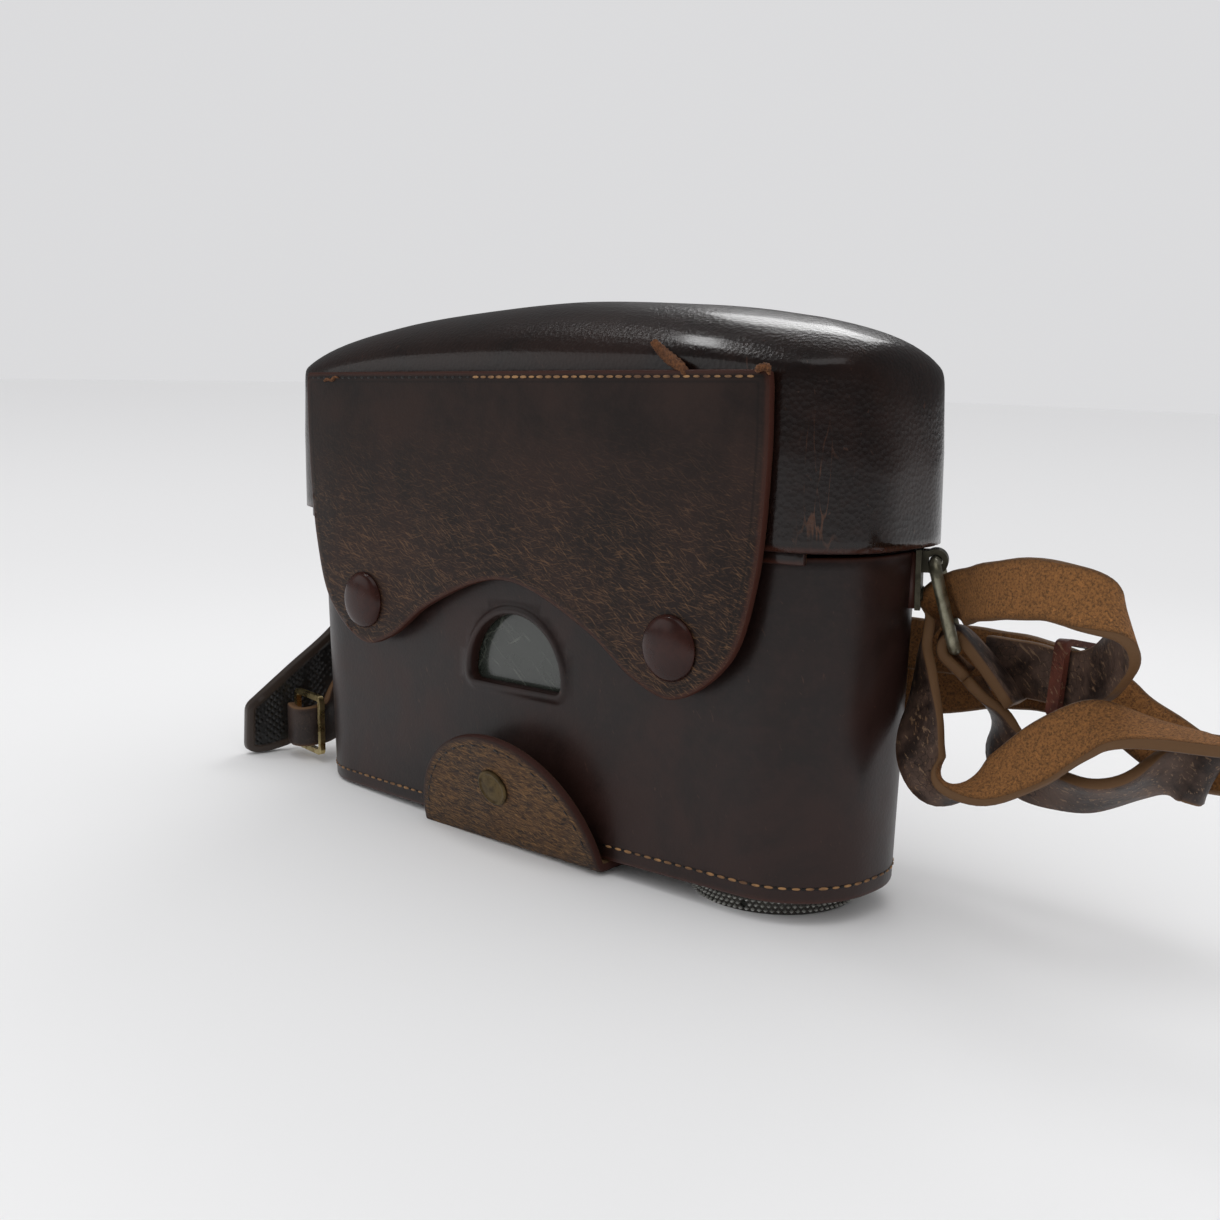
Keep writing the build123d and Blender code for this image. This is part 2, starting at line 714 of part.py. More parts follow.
for side, mirror_x in (("right", 1), ("left", -1)):
    normal = Vector(mirror_x * math.cos(turn), math.sin(turn), 0)
    tangent = Vector(-mirror_x * math.sin(turn), math.cos(turn), 0)
    wall = Vector(mirror_x * wall_x, wall_y, ring_z)
    bar = wall + normal * ring_stand_off
    end_on = Plane(origin=bar, x_dir=normal, z_dir=tangent)

    lug_name = f"lug_{side}"
    with BuildPart() as lug:
        flat_side = 1 if end_on.y_dir.Z > 0 else -1
        back = -ring_stand_off + lug_gap
        boss = ring_wire / 2 + ring_clearance + lug_wall
        with BuildSketch(end_on.offset(-lug_width / 4)):
            with Locations((back / 2, 0)):
                Rectangle(-back, 2 * boss - lug_rib_step)
            Circle(boss)
        extrude(amount=lug_width / 2)
        with BuildSketch(end_on.offset(-lug_width / 2)):
            with Locations((back + lug_thickness / 2, flat_side * (boss - lug_height / 2))):
                Rectangle(lug_thickness, lug_height)
        extrude(amount=lug_width)
        with BuildSketch(end_on.offset(-lug_width / 2)):
            Circle(ring_wire / 2 + ring_clearance)
        extrude(amount=lug_width, mode=Mode.SUBTRACT)
    lug.part.label = lug_name
    export_step(lug.part, f"parts/{lug_name}.step")

    rivet_name = f"lug_rivets_{side}"
    face_on = Plane(origin=wall + normal * (lug_thickness + lug_gap), x_dir=tangent, z_dir=normal)
    rivet_side = 1 if face_on.y_dir.Z > 0 else -1
    rivet_low = boss - lug_height + lug_rivet_rise
    with BuildPart() as lug_rivets:
        with BuildSketch(face_on):
            with Locations((-lug_rivet_x, rivet_side * rivet_low), (lug_rivet_x, rivet_side * rivet_low)):
                Circle(lug_rivet_diameter / 2)
        extrude(amount=lug_rivet_height)
        heads = lug_rivets.edges().filter_by(GeomType.CIRCLE).group_by(Axis(bar, normal))[-1]
        chamfer(heads, lug_rivet_height / 2)
    lug_rivets.part.label = rivet_name
    export_step(lug_rivets.part, f"parts/{rivet_name}.step")

    ring_name = f"ring_{side}"
    lean = math.radians(ring_tilt)
    ring_down = normal * math.sin(lean) - Vector(0, 0, 1) * math.cos(lean)
    ring_plane = Plane(
        origin=bar + ring_down * (ring_length / 2), x_dir=tangent, z_dir=tangent.cross(ring_down)
    )
    with BuildSketch(ring_plane) as ring_face:
        RectangleRounded(ring_width, ring_length, ring_corner)
    bend = ring_face.sketch.faces()[0].outer_wire()
    with BuildPart() as ring:
        with BuildSketch(Plane(origin=bend @ 0, z_dir=bend % 0)):
            Circle(ring_wire / 2)
        sweep(path=bend)
    ring.part.label = ring_name
    export_step(ring.part, f"parts/{ring_name}.step")

# The fixed end of the lower strap folds over the right ring.
ring_end_route = [
    (94, 14.7, 36.6, 0.7, -0.7, 0.07),
    (90.6, 14.3, 40.8, 0.66, -0.74, 0.07),
    (83.52, 14.05, 47.87, 0.47, -0.88, 0),
    (82.1, 13.3, 48.45, 0.47, -0.88, 0),
    (80.68, 12.55, 47.87, 0.47, -0.88, 0),
    (79.93, 12.15, 46.38, 0.47, -0.88, 0),
    (80.19, 12.28, 44.7, 0.47, -0.88, 0),
    (81, 12.71, 43.78, 0.47, -0.88, 0),
    (84.6, 14, 40.6, 0.55, -0.83, 0.04),
]
# The lower strap runs out to the right, creases, comes back behind the case and ends at the pad.
lower_route = [
    (85.2, 14.2, 39.8, 0.55, -0.83, 0.04),
    (87.9, 14.5, 36.7, 0.62, -0.78, 0.07),
    (91.4, 14.6, 33.4, 0.66, -0.71, 0.24),
    (92.9, 13, 28.5, 0.8, -0.19, 0.57),
    (96.7, 10.5, 25.9, 0.74, -0.27, 0.61),
    (103.2, 7.5, 24.7, 0.65, -0.52, 0.55),
    (110, 6, 24.7, 0.59, -0.58, 0.56),
    (114.9, 6, 25.4, 0.54, -0.63, 0.55),
    (119.4, 7.5, 27.3, 0.56, -0.54, 0.63),
    (122.9, 10, 30, 0.56, -0.2, 0.77),
    (125.9, 11.6, 30.4, 0.27, 0.42, 0.87),
    (128, 12.4, 29.8, 0.35, 0.49, 0.8),
    (129.7, 14.2, 29.6, 0.35, 0.49, 0.8),
    (127.65, 15.9, 30.46, 0.35, 0.49, 0.8),
    (124.58, 16.9, 31.28, 0.34, 0.47, 0.81),
    (118.75, 17.8, 33.69, 0.29, 0.44, 0.85),
    (112.94, 18.8, 36.41, 0.26, 0.41, 0.87),
    (110.2, 18.1, 39.1, 0.2, 0.36, 0.91),
    (107.0, 16.6, 41.6, 0.06, 0.24, 0.97),
    (102.0, 18.4, 42.0, 0, 0.2, 0.98),
    (94.1, 22.3, 42.5, -0.07, 0.13, 0.99),
    (82.3, 25.4, 42.8, -0.1, 0.1, 0.99),
    (70.9, 26.0, 42.7, -0.1, 0.1, 0.99),
    (40, 24.2, 43.4, 0, 0, 1),
    (0, 23.6, 43.8, 0, 0, 1),
    (-40, 24.2, 43.2, 0, 0, 1),
    (-58, 24.2, 39.5, 0.45, 0.1, 0.88),
    (-70, 23.6, 33.5, 0.75, 0.45, 0.45),
    (-75.2, 19.8, 28.4, 0.5, 0.85, 0.15),
    (-77.4, 14.6, 32, 0.47, 0.88, 0),
    (-79.89, 12.13, 45.95, 0.47, 0.88, 0),
    (-80.54, 12.47, 47.72, 0.47, 0.88, 0),
    (-82.1, 13.3, 48.45, 0.47, 0.88, 0),
    (-83.66, 14.13, 47.72, 0.47, 0.88, 0),
    (-84.31, 14.47, 45.95, 0.47, 0.88, 0),
    (-85.2, 13.8, 40, 0.47, 0.88, 0),
    (-84.2, 10.5, 30, 0.47, 0.86, -0.1),
    (-84.3, 5, 20, 0.5, 0.62, -0.5),
    (-83.6, -1.5, 12.5, 0.3, 0.3, -0.9),
    (-81.3, -7, 9.4, 0, 0, -1),
    (-80.7, -11.5, 9.0, 0, 0, -1),
    (-82.6, -14.6, 8.6, 0, 0, -1),
    (-86.4, -14.8, 8.6, 0, 0, -1),
    (-89.4, -13.0, 8.9, 0, 0, -1),
]
# The upper strap starts at its free end, makes two loops and returns behind the case to the pad.
upper_route = [
    (84.3, 22.0, 41.9, -0.08, 0.08, 0.99),
    (93, 19.4, 42.3, -0.11, 0.06, 0.99),
    (104, 14.8, 42, 0.05, 0.2, 0.98),
    (110.6, 11, 44.2, -0.05, 0.1, 0.99),
    (114.7, 7, 47.5, -0.62, 0.62, 0.47),
    (119.5, 1, 54.4, -0.66, 0.71, 0.24),
    (119.5, -3, 59.5, -0.54, 0.67, 0.51),
    (115.7, -5, 60.9, -0.09, 0.09, 0.99),
    (106.7, -4, 60.5, -0.1, 0.1, 0.99),
    (96.2, -1, 58.7, -0.1, 0.1, 0.99),
    (86.6, 7.8, 56.0, 0.24, -0.26, 0.94),
    (80.0, 13.1, 53.6, 0.3, -0.54, 0.78),
    (77.9, 13.1, 51.2, 0.4, -0.76, 0.5),
    (77.3, 11.6, 48.2, 0.5, -0.84, 0.2),
    (77.2, 10.4, 44.0, 0.55, -0.82, 0.1),
    (79.4, 7.2, 38.4, 0.74, -0.66, 0.1),
    (81.6, 2.6, 32, 0.95, -0.22, 0.2),
    (83.2, 0.2, 27.6, 0.97, -0.1, 0.22),
    (86.6, -1.4, 23.9, 0.87, -0.27, 0.41),
    (90.3, -2, 23, 0.76, -0.57, 0.32),
    (93.7, -2, 24.1, 0.67, -0.73, 0.15),
    (99, -2, 26.4, 0.71, -0.56, -0.42),
    (105, -1, 30.9, 0.62, -0.32, -0.72),
    (110.2, 0, 35.3, 0.64, -0.3, -0.7),
    (114.6, 1, 38, 0.59, -0.48, -0.65),
    (119.2, 2, 38.3, 0.55, -0.74, -0.39),
    (124.1, 4, 37.6, 0.65, -0.75, -0.15),
    (128.7, 6, 37, 0.68, -0.73, -0.08),
    (133, 9, 36.2, 0.68, -0.73, 0),
    (138.4, 12.2, 36.4, 0.5, -0.2, 0.7),
    (140.2, 17.2, 33.8, 0.3, 0.2, 0.9),
    (136, 21.5, 31, 0.34, 0.47, 0.81),
    (130, 22, 29.8, 0.34, 0.47, 0.81),
    (122.81, 20.9, 30.12, 0.34, 0.47, 0.81),
    (116.82, 22.2, 32.67, 0.29, 0.44, 0.85),
    (110.97, 23.1, 35.22, 0.26, 0.41, 0.87),
    (104.92, 23.7, 37.57, 0.14, 0.32, 0.94),
    (98.29, 24.1, 38.98, 0, 0.19, 0.98),
    (88.21, 26.8, 38.02, -0.09, 0.12, 0.99),
    (78.02, 28.6, 35.87, -0.1, 0.1, 0.99),
    (69.99, 28.2, 33.56, -0.1, 0.1, 0.99),
    (40, 26.0, 32, 0, 0, 1),
    (0, 24.4, 32, 0, 0, 1),
    (-40, 26.6, 32.4, 0, 0, 1),
    (-50, 27.6, 34, -0.1, 0, 1),
    (-60, 28.6, 37.0, -0.3, 0, 0.95),
    (-66, 26.4, 40.6, -0.35, 0, 0.93),
    (-71.5, 26.4, 42.8, -0.2, 0, 0.98),
    (-77.5, 29.2, 43.5, 0, 0, 1),
    (-83, 30.4, 43.5, 0, 0, 1),
]

with BuildPart() as strap_ring_end:
    add(strap_solid(ring_end_route))
strap_ring_end.part.label = "strap_ring_end"
export_step(strap_ring_end.part, "parts/strap_ring_end.step")

with BuildPart() as strap_lower:
    add(strap_solid(lower_route))
strap_lower.part.label = "strap_lower"
export_step(strap_lower.part, "parts/strap_lower.step")

with BuildPart() as strap_upper:
    add(strap_solid(upper_route))
strap_upper.part.label = "strap_upper"
export_step(strap_upper.part, "parts/strap_upper.step")

print("lower strap length", round(route_length(ring_end_route) + route_length(lower_route)))
print("upper strap length", round(route_length(upper_route)))

# A narrow band holds the two straps together where they lie one behind the other.
keeper_plane = Plane(origin=(104.0, 16.15, 41.95), x_dir=(0.05, 0.2, 0.98), z_dir=(0.92, -0.38, 0.1))
keeper_inner = (strap_width + keeper_play, 2 * strap_thickness + keeper_play + 0.4)
with BuildPart() as strap_keeper:
    with BuildSketch(keeper_plane.offset(-keeper_length / 2)):
        RectangleRounded(
            keeper_inner[0] + 2 * keeper_wall, keeper_inner[1] + 2 * keeper_wall, keeper_corner + 0.8
        )
        RectangleRounded(keeper_inner[0], keeper_inner[1], keeper_corner, mode=Mode.SUBTRACT)
    extrude(amount=keeper_length)
strap_keeper.part.label = "strap_keeper"
export_step(strap_keeper.part, "parts/strap_keeper.step")

# The shoulder pad curves round the left end of the case; this is its inner face seen from above.
pad_plan = [(-95.1, -22.7), (-92.5, -11.0), (-90.0, 0.2), (-89.6, 11.0), (-88.2, 22.0), (-85.6, 33.0)]
pad_side = [
    (-22.1, 13.3),
    (-22.6, 2.1),
    (-20.2, 0.9),
    (-16.6, 0.9),
    (-10.8, 2.0),
    (23.6, 28.4),
    (29.5, 34.5),
    (31.5, 40.0),
    (30.5, 49.4),
    (25.5, 49.5),
    (0.1, 30.3),
    (-8.3, 24.1),
]
with BuildPart() as shoulder_pad:
    with BuildSketch():
        with BuildLine():
            inner = Spline(*pad_plan)
            outer = Spline(*[(x - pad_thickness, y) for x, y in pad_plan])
            Line(inner @ 0, outer @ 0)
            Line(inner @ 1, outer @ 1)
        make_face()
    extrude(amount=60)
    with BuildSketch(Plane(origin=(-110, 0, 0), x_dir=(0, 1, 0), z_dir=(1, 0, 0))):
        with BuildLine():
            Polyline(*pad_side, close=True)
        make_face()
    extrude(amount=40, mode=Mode.INTERSECT)
shoulder_pad.part.label = "shoulder_pad"
export_step(shoulder_pad.part, "parts/shoulder_pad.step")

# Two flat wire loops join the straps to the pad.
loop_places = {
    "pad_loop_lower": Plane(origin=(-84.0, -11.4, 9.5), x_dir=(0.982, -0.19, 0), z_dir=(-0.19, -0.982, 0)),
    "pad_loop_upper": Plane(origin=(-78.3, 29.0, 43.5), x_dir=(1, 0, 0), z_dir=(0, -1, 0)),
}
for loop_name, place in loop_places.items():
    with BuildPart() as pad_loop:
        with BuildSketch(place.offset(-loop_wire / 2)):
            RectangleRounded(loop_size, loop_size, loop_corner)
            inner_size = loop_size - 2 * loop_wire
            RectangleRounded(inner_size, inner_size, loop_corner - 1, mode=Mode.SUBTRACT)
        extrude(amount=loop_wire)
    pad_loop.part.label = loop_name
    export_step(pad_loop.part, f"parts/{loop_name}.step")
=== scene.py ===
import json
import math

import bmesh
import bpy
import numpy as np
from mathutils import Matrix, Vector
from mathutils.geometry import delaunay_2d_cdt

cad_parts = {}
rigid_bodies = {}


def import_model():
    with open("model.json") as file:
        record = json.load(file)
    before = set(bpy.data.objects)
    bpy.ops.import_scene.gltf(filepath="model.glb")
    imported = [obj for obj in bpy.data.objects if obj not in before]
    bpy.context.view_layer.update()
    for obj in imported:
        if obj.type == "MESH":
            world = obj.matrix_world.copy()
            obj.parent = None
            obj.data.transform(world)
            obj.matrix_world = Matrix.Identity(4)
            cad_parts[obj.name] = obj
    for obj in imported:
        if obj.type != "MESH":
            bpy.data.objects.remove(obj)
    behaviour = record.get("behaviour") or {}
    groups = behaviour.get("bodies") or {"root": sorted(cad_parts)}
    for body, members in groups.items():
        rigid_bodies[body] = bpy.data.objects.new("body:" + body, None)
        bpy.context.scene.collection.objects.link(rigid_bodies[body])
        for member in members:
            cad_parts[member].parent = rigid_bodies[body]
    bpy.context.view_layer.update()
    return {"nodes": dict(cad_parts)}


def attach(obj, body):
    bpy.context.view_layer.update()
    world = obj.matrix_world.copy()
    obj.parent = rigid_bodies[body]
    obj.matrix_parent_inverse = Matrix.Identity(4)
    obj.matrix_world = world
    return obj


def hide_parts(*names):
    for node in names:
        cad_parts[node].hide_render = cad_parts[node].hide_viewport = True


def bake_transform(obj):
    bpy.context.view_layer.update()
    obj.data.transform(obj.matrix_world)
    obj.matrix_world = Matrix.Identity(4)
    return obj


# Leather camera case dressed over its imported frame. Lengths below are millimetres, the scene is metres.
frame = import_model()
mm = 0.001
nodes = frame["nodes"]
print("frame loaded:", len(nodes), "nodes")


# Mesh helpers.
def linked(name, data):
    obj = bpy.data.objects.new(name, data)
    bpy.context.scene.collection.objects.link(obj)
    return obj


def evaluatedMesh(obj):
    depsgraph = bpy.context.evaluated_depsgraph_get()
    return bpy.data.meshes.new_from_object(obj.evaluated_get(depsgraph), depsgraph=depsgraph)


def makeObject(name, points, faces):
    mesh = bpy.data.meshes.new(name)
    mesh.from_pydata((np.asarray(points, float) * mm).tolist(), [], [tuple(f) for f in faces])
    mesh.update()
    mesh.shade_smooth()
    return linked(name, mesh)


def setAttribute(obj, name, values):
    attribute = obj.data.attributes.new(name, "FLOAT", "POINT")
    attribute.data.foreach_set("value", np.asarray(values, np.float32))


def faceOutward(obj, weld=0.001):
    bm = bmesh.new()
    bm.from_mesh(obj.data)
    if weld:
        bmesh.ops.remove_doubles(bm, verts=bm.verts, dist=weld * mm)
        bmesh.ops.dissolve_degenerate(bm, edges=bm.edges, dist=1e-8)
    bmesh.ops.recalc_face_normals(bm, faces=bm.faces)
    bm.to_mesh(obj.data)
    bm.free()
    obj.data.shade_smooth()
    return obj


def place(obj, material, body, slotName, *stoodFor):
    obj.data.materials.clear()
    obj.data.materials.append(material)
    if isinstance(body, str):
        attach(obj, body)
    else:
        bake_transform(obj)
    if stoodFor:
        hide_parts(*stoodFor)
    return obj


# Faces between the rings of a tube; its ends are left open, capped or joined to each other.
def tubeFaces(rings, around, ends="open"):
    faces = []
    for i in range(rings if ends == "joined" else rings - 1):
        j = (i + 1) % rings
        for k in range(around):
            m = (k + 1) % around
            faces.append((i * around + k, i * around + m, j * around + m, j * around + k))
    if ends == "capped":
        faces += [tuple(range(around))[::-1], tuple((rings - 1) * around + k for k in range(around))]
    return faces


def unit(v):
    return v / np.maximum(np.linalg.norm(v, axis=-1)[..., None], 1e-9)


# How far along an open line each of its points lies.
def runLengths(line):
    return np.concatenate([[0], np.cumsum(np.linalg.norm(np.diff(line, axis=0), axis=1))])


# The places on a line at the given lengths.
def placesAt(at, lengths, line):
    return np.stack([np.interp(at, lengths, column) for column in line.T], 1)


def headings(line):
    return unit(np.vstack([line[1:2] - line[:1], line[2:] - line[:-2], line[-1:] - line[-2:-1]]))


# Distance from points to a closed line, in the plane.
def distanceTo(points, line):
    line = np.asarray(line, float)
    best = np.full(len(points), 1e9)
    for a, b in zip(line, np.roll(line, -1, 0)):
        d = b - a
        t = np.clip(((points - a) @ d) / max(d @ d, 1e-12), 0, 1)
        best = np.minimum(best, np.linalg.norm(points - a - t[:, None] * d, axis=1))
    return best


def insideOf(points, loop):
    loop = np.asarray(loop, float)
    inside = np.zeros(len(points), bool)
    x, y = points[:, 0], points[:, 1]
    for a, b in zip(loop, np.roll(loop, -1, 0)):
        crosses = (a[1] > y) != (b[1] > y)
        with np.errstate(divide="ignore", invalid="ignore"):
            at = (b[0] - a[0]) * (y - a[1]) / (b[1] - a[1]) + a[0]
        inside ^= crosses & (x < at)
    return inside


# Even spacing along a closed line, keeping its sharp corners.
def resample(line, step):
    line = np.asarray(line, float)
    points = []
    for a, b in zip(line, np.roll(line, -1, 0)):
        n = max(1, int(round(np.linalg.norm(b - a) / step)))
        points += [a + (b - a) * k / n for k in range(n)]
    return np.array(points)


# A closed line drawn inwards; the line runs anticlockwise.
def inset(loop, amount):
    ahead = unit(np.roll(loop, -1, 0) - loop)
    behind = unit(loop - np.roll(loop, 1, 0))
    normal = unit(np.stack([-(ahead + behind)[:, 1], (ahead + behind)[:, 0]], 1))
    cosine = np.clip((normal * np.stack([-ahead[:, 1], ahead[:, 0]], 1)).sum(1), 0.6, 1)
    return loop + normal * (amount / cosine)[:, None]


def anticlockwise(loop):
    loop = np.asarray(loop, float)
    x, y = loop[:, 0], loop[:, 1]
    area = (x * np.roll(y, -1) - y * np.roll(x, -1)).sum()
    return loop if area > 0 else loop[::-1]


# A smooth open line through the points, with count pieces between each two.
def smoothLine(points, count):
    p = np.asarray(points, float)
    out = []
    for i in range(len(p) - 1):
        a, b = p[i], p[i + 1]
        before = p[i - 1] if i > 0 else 2 * a - b
        after = p[i + 2] if i + 2 < len(p) else 2 * b - a
        ka, kb, kc = (max(np.linalg.norm(v) ** 0.5, 1e-6) for v in (a - before, b - a, after - b))
        ma = ((a - before) / ka - (b - before) / (ka + kb) + (b - a) / kb) * kb
        mb = ((b - a) / kb - (after - a) / (kb + kc) + (after - b) / kc) * kb
        for t in np.arange(count) / count:
            out.append(
                (2 * t**3 - 3 * t**2 + 1) * a
                + (t**3 - 2 * t**2 + t) * ma
                + (3 * t**2 - 2 * t**3) * b
                + (t**3 - t**2) * mb
            )
    return np.array(out + [p[-1]])


# A piece of leather cut flat from an outline with holes, then laid in space by toSpace(u, v, depth).
# Its points keep their distance to the cut edge, their share of the thickness and their flat height.
def leatherSheet(name, outer, holes, toSpace, cut):
    step, thick, soft = cut["step"], cut["thickness"], cut["soft"]
    rings = [anticlockwise(outer)] + [anticlockwise(h)[::-1] for h in holes]
    rings = [resample(r, cut.get("edgeStep", step)) for r in rings]
    lines = [inset(r, soft) for r in rings]

    # those of the places that lie on the leather, clear of its edges
    def clear(places, margin):
        keep = insideOf(places, rings[0]) & (distanceTo(places, rings[0]) > soft + margin)
        for r in rings[1:]:
            keep &= ~insideOf(places, r) & (distanceTo(places, r) > soft + margin)
        return places[keep]

    low, high = rings[0].min(0), rings[0].max(0)
    us = np.arange(low[0] + step / 2, high[0], step)
    vs = np.arange(low[1] + step / 2, high[1], step)
    grid = np.stack(np.meshgrid(us, vs), -1).reshape(-1, 2)
    places, edges, start = list(lines), [], 0
    for ring in lines:
        edges += [(start + k, start + (k + 1) % len(ring)) for k in range(len(ring))]
        start += len(ring)
    for amount in cut.get("guides", ()):
        places += [clear(resample(inset(r, amount), step), 0.15) for r in rings]
    places += [resample(line, 0.9) for line in cut.get("extra", ())] + [clear(grid, step * 0.4)]
    points = [Vector(p) for p in np.vstack(places)]
    flat, _, faces, _, _, _ = delaunay_2d_cdt(points, edges, [], 0, 1e-5)
    flat = np.array([(p.x, p.y) for p in flat])
    centres = np.array([flat[list(f)].mean(0) for f in faces])
    inside = insideOf(centres, lines[0])
    for ring in lines[1:]:
        inside &= ~insideOf(centres, ring)
    faces = [tuple(f) for f, ok in zip(faces, inside) if ok]
    count = len(flat)
    uv, depth = [flat, flat], [np.zeros(count), np.full(count, thick)]
    quads = faces + [tuple(count + i for i in reversed(f)) for f in faces]
    total = 2 * count
    for ring, line in zip(rings, lines):
        n = len(ring)
        near = [int(np.argmin(((flat - p) ** 2).sum(1))) for p in line]
        turn, rounded = 0.3 * soft, line + (ring - line) * 0.7
        layers = [near]
        for shape, d in ((rounded, turn), (ring, soft), (ring, thick - soft), (rounded, thick - turn)):
            uv.append(shape)
            depth.append(np.full(n, d))
            layers.append(list(range(total, total + n)))
            total += n
        layers.append([count + i for i in near])
        for a, b in zip(layers, layers[1:]):
            quads += [(a[k], b[k], b[(k + 1) % n], a[(k + 1) % n]) for k in range(n)]
    uv, depth = np.vstack(uv), np.concatenate(depth)
    obj = makeObject(name, toSpace(uv[:, 0], uv[:, 1], depth), quads)
    setAttribute(obj, "edge", distanceTo(uv, rings[0]))
    setAttribute(obj, "depth", depth / thick)
    setAttribute(obj, "height", uv[:, 1])
    return faceOutward(obj)


# Material helpers. A tone is three numbers up to 255, and look settings left out are taken from leatherUsual.
def tint(tone):
    return tuple(((c / 255 + 0.055) / 1.055) ** 2.4 if c > 10 else c / 255 / 12.92 for c in tone) + (1,)


def scaled(tone, share):
    return [share * c for c in tone]


def add(tree, kind, inputs=None, **settings):
    node = tree.nodes.new(kind)
    for key, value in settings.items():
        setattr(node, key, value)
    for key, value in (inputs or {}).items():
        if isinstance(value, bpy.types.NodeSocket):
            tree.links.new(value, node.inputs[key])
        else:
            node.inputs[key].default_value = value
    return node


def newMaterial(name):
    material = bpy.data.materials.new(name)
    material.use_nodes = True
    tree = material.node_tree
    tree.nodes.clear()
    return material, tree


def objectPlace(tree, scale=(1, 1, 1), turn=(0, 0, 0)):
    place = add(tree, "ShaderNodeTexCoord").outputs["Object"]
    return add(tree, "ShaderNodeMapping", {"Vector": place, "Scale": scale, "Rotation": turn}).outputs[0]


def noise(tree, where, scale, detail=4.0, rough=0.6, twist=0.0):
    inputs = {"Vector": where, "Scale": scale, "Detail": detail, "Roughness": rough, "Distortion": twist}
    return add(tree, "ShaderNodeTexNoise", inputs).outputs["Fac"]


def cells(tree, where, scale, feature="F1", smooth=1.0):
    inputs = {"Vector": where, "Scale": scale, "Randomness": smooth}
    return add(tree, "ShaderNodeTexVoronoi", inputs, feature=feature).outputs["Distance"]


def remap(tree, value, low, high, a=0.0, b=1.0, kind="SMOOTHSTEP"):
    inputs = {"Value": value, "From Min": low, "From Max": high, "To Min": a, "To Max": b}
    return add(tree, "ShaderNodeMapRange", inputs, interpolation_type=kind).outputs[0]


def sums(tree, operation, a, b=0.0):
    return add(tree, "ShaderNodeMath", {0: a, 1: b}, operation=operation).outputs[0]


def vectorMath(tree, operation, inputs, output="Vector"):
    return add(tree, "ShaderNodeVectorMath", inputs, operation=operation).outputs[output]


# Each colour is a socket or a tone.
def blendColor(tree, factor, a, b):
    a, b = (c if isinstance(c, bpy.types.NodeSocket) else tint(c) for c in (a, b))
    return add(tree, "ShaderNodeMix", {0: factor, 6: a, 7: b}, data_type="RGBA").outputs[2]


def reading(tree, name):
    return add(tree, "ShaderNodeAttribute", attribute_name=name).outputs["Fac"]


# A zone is an attribute that fades in from low to high; without one the whole surface counts.
def zoned(tree, zone):
    return remap(tree, reading(tree, zone[0]), *zone[1:]) if zone else 1.0


# Ends a material; each layer of bumps is a height, a strength and a distance in millimetres.
def finishMaterial(tree, inputs, layers=()):
    for height, strength, distance in layers:
        bump = {"Height": height, "Strength": strength, "Distance": distance * mm}
        if "Normal" in inputs:
            bump["Normal"] = inputs["Normal"]
        inputs["Normal"] = add(tree, "ShaderNodeBump", bump).outputs[0]
    shader = add(tree, "ShaderNodeBsdfPrincipled", inputs)
    add(tree, "ShaderNodeOutputMaterial", {0: shader.outputs[0]})


# Fine hairline marks: noise stretched along one direction and cut to its highest ridges.
def scratches(tree, turn, density, length, cut):
    squeeze = (density, density, density / length)
    place = vectorMath(tree, "MULTIPLY", {0: objectPlace(tree, turn=turn), 1: squeeze})
    return remap(tree, noise(tree, place, 1.0, 3.0, 0.6, 0.5), cut, cut + 0.06)


# Lines between cells, bent by a coarser noise.
def crackLines(tree, place, size, bendScale, swing, width):
    bend = add(tree, "ShaderNodeTexNoise", {"Vector": place, "Scale": bendScale, "Detail": 3.0}).outputs["Color"]
    place = vectorMath(tree, "ADD", {0: place, 1: vectorMath(tree, "SCALE", {0: bend, "Scale": swing})})
    return remap(tree, cells(tree, place, size, "DISTANCE_TO_EDGE"), *width, 1, 0)


leatherUsual = {
    "cloud": 45, "pores": 1100, "poreDepth": 0.25, "wear": 0.7, "wearWidth": 0.9, "nap": 0.78,
    "coat": 0.0, "coatRough": 0.3, "shine": 0.5, "marks": (), "grooves": (), "rows": (),
    "sheet": True, "zone": None, "cracks": None, "crackZone": None, "shade": None,
}


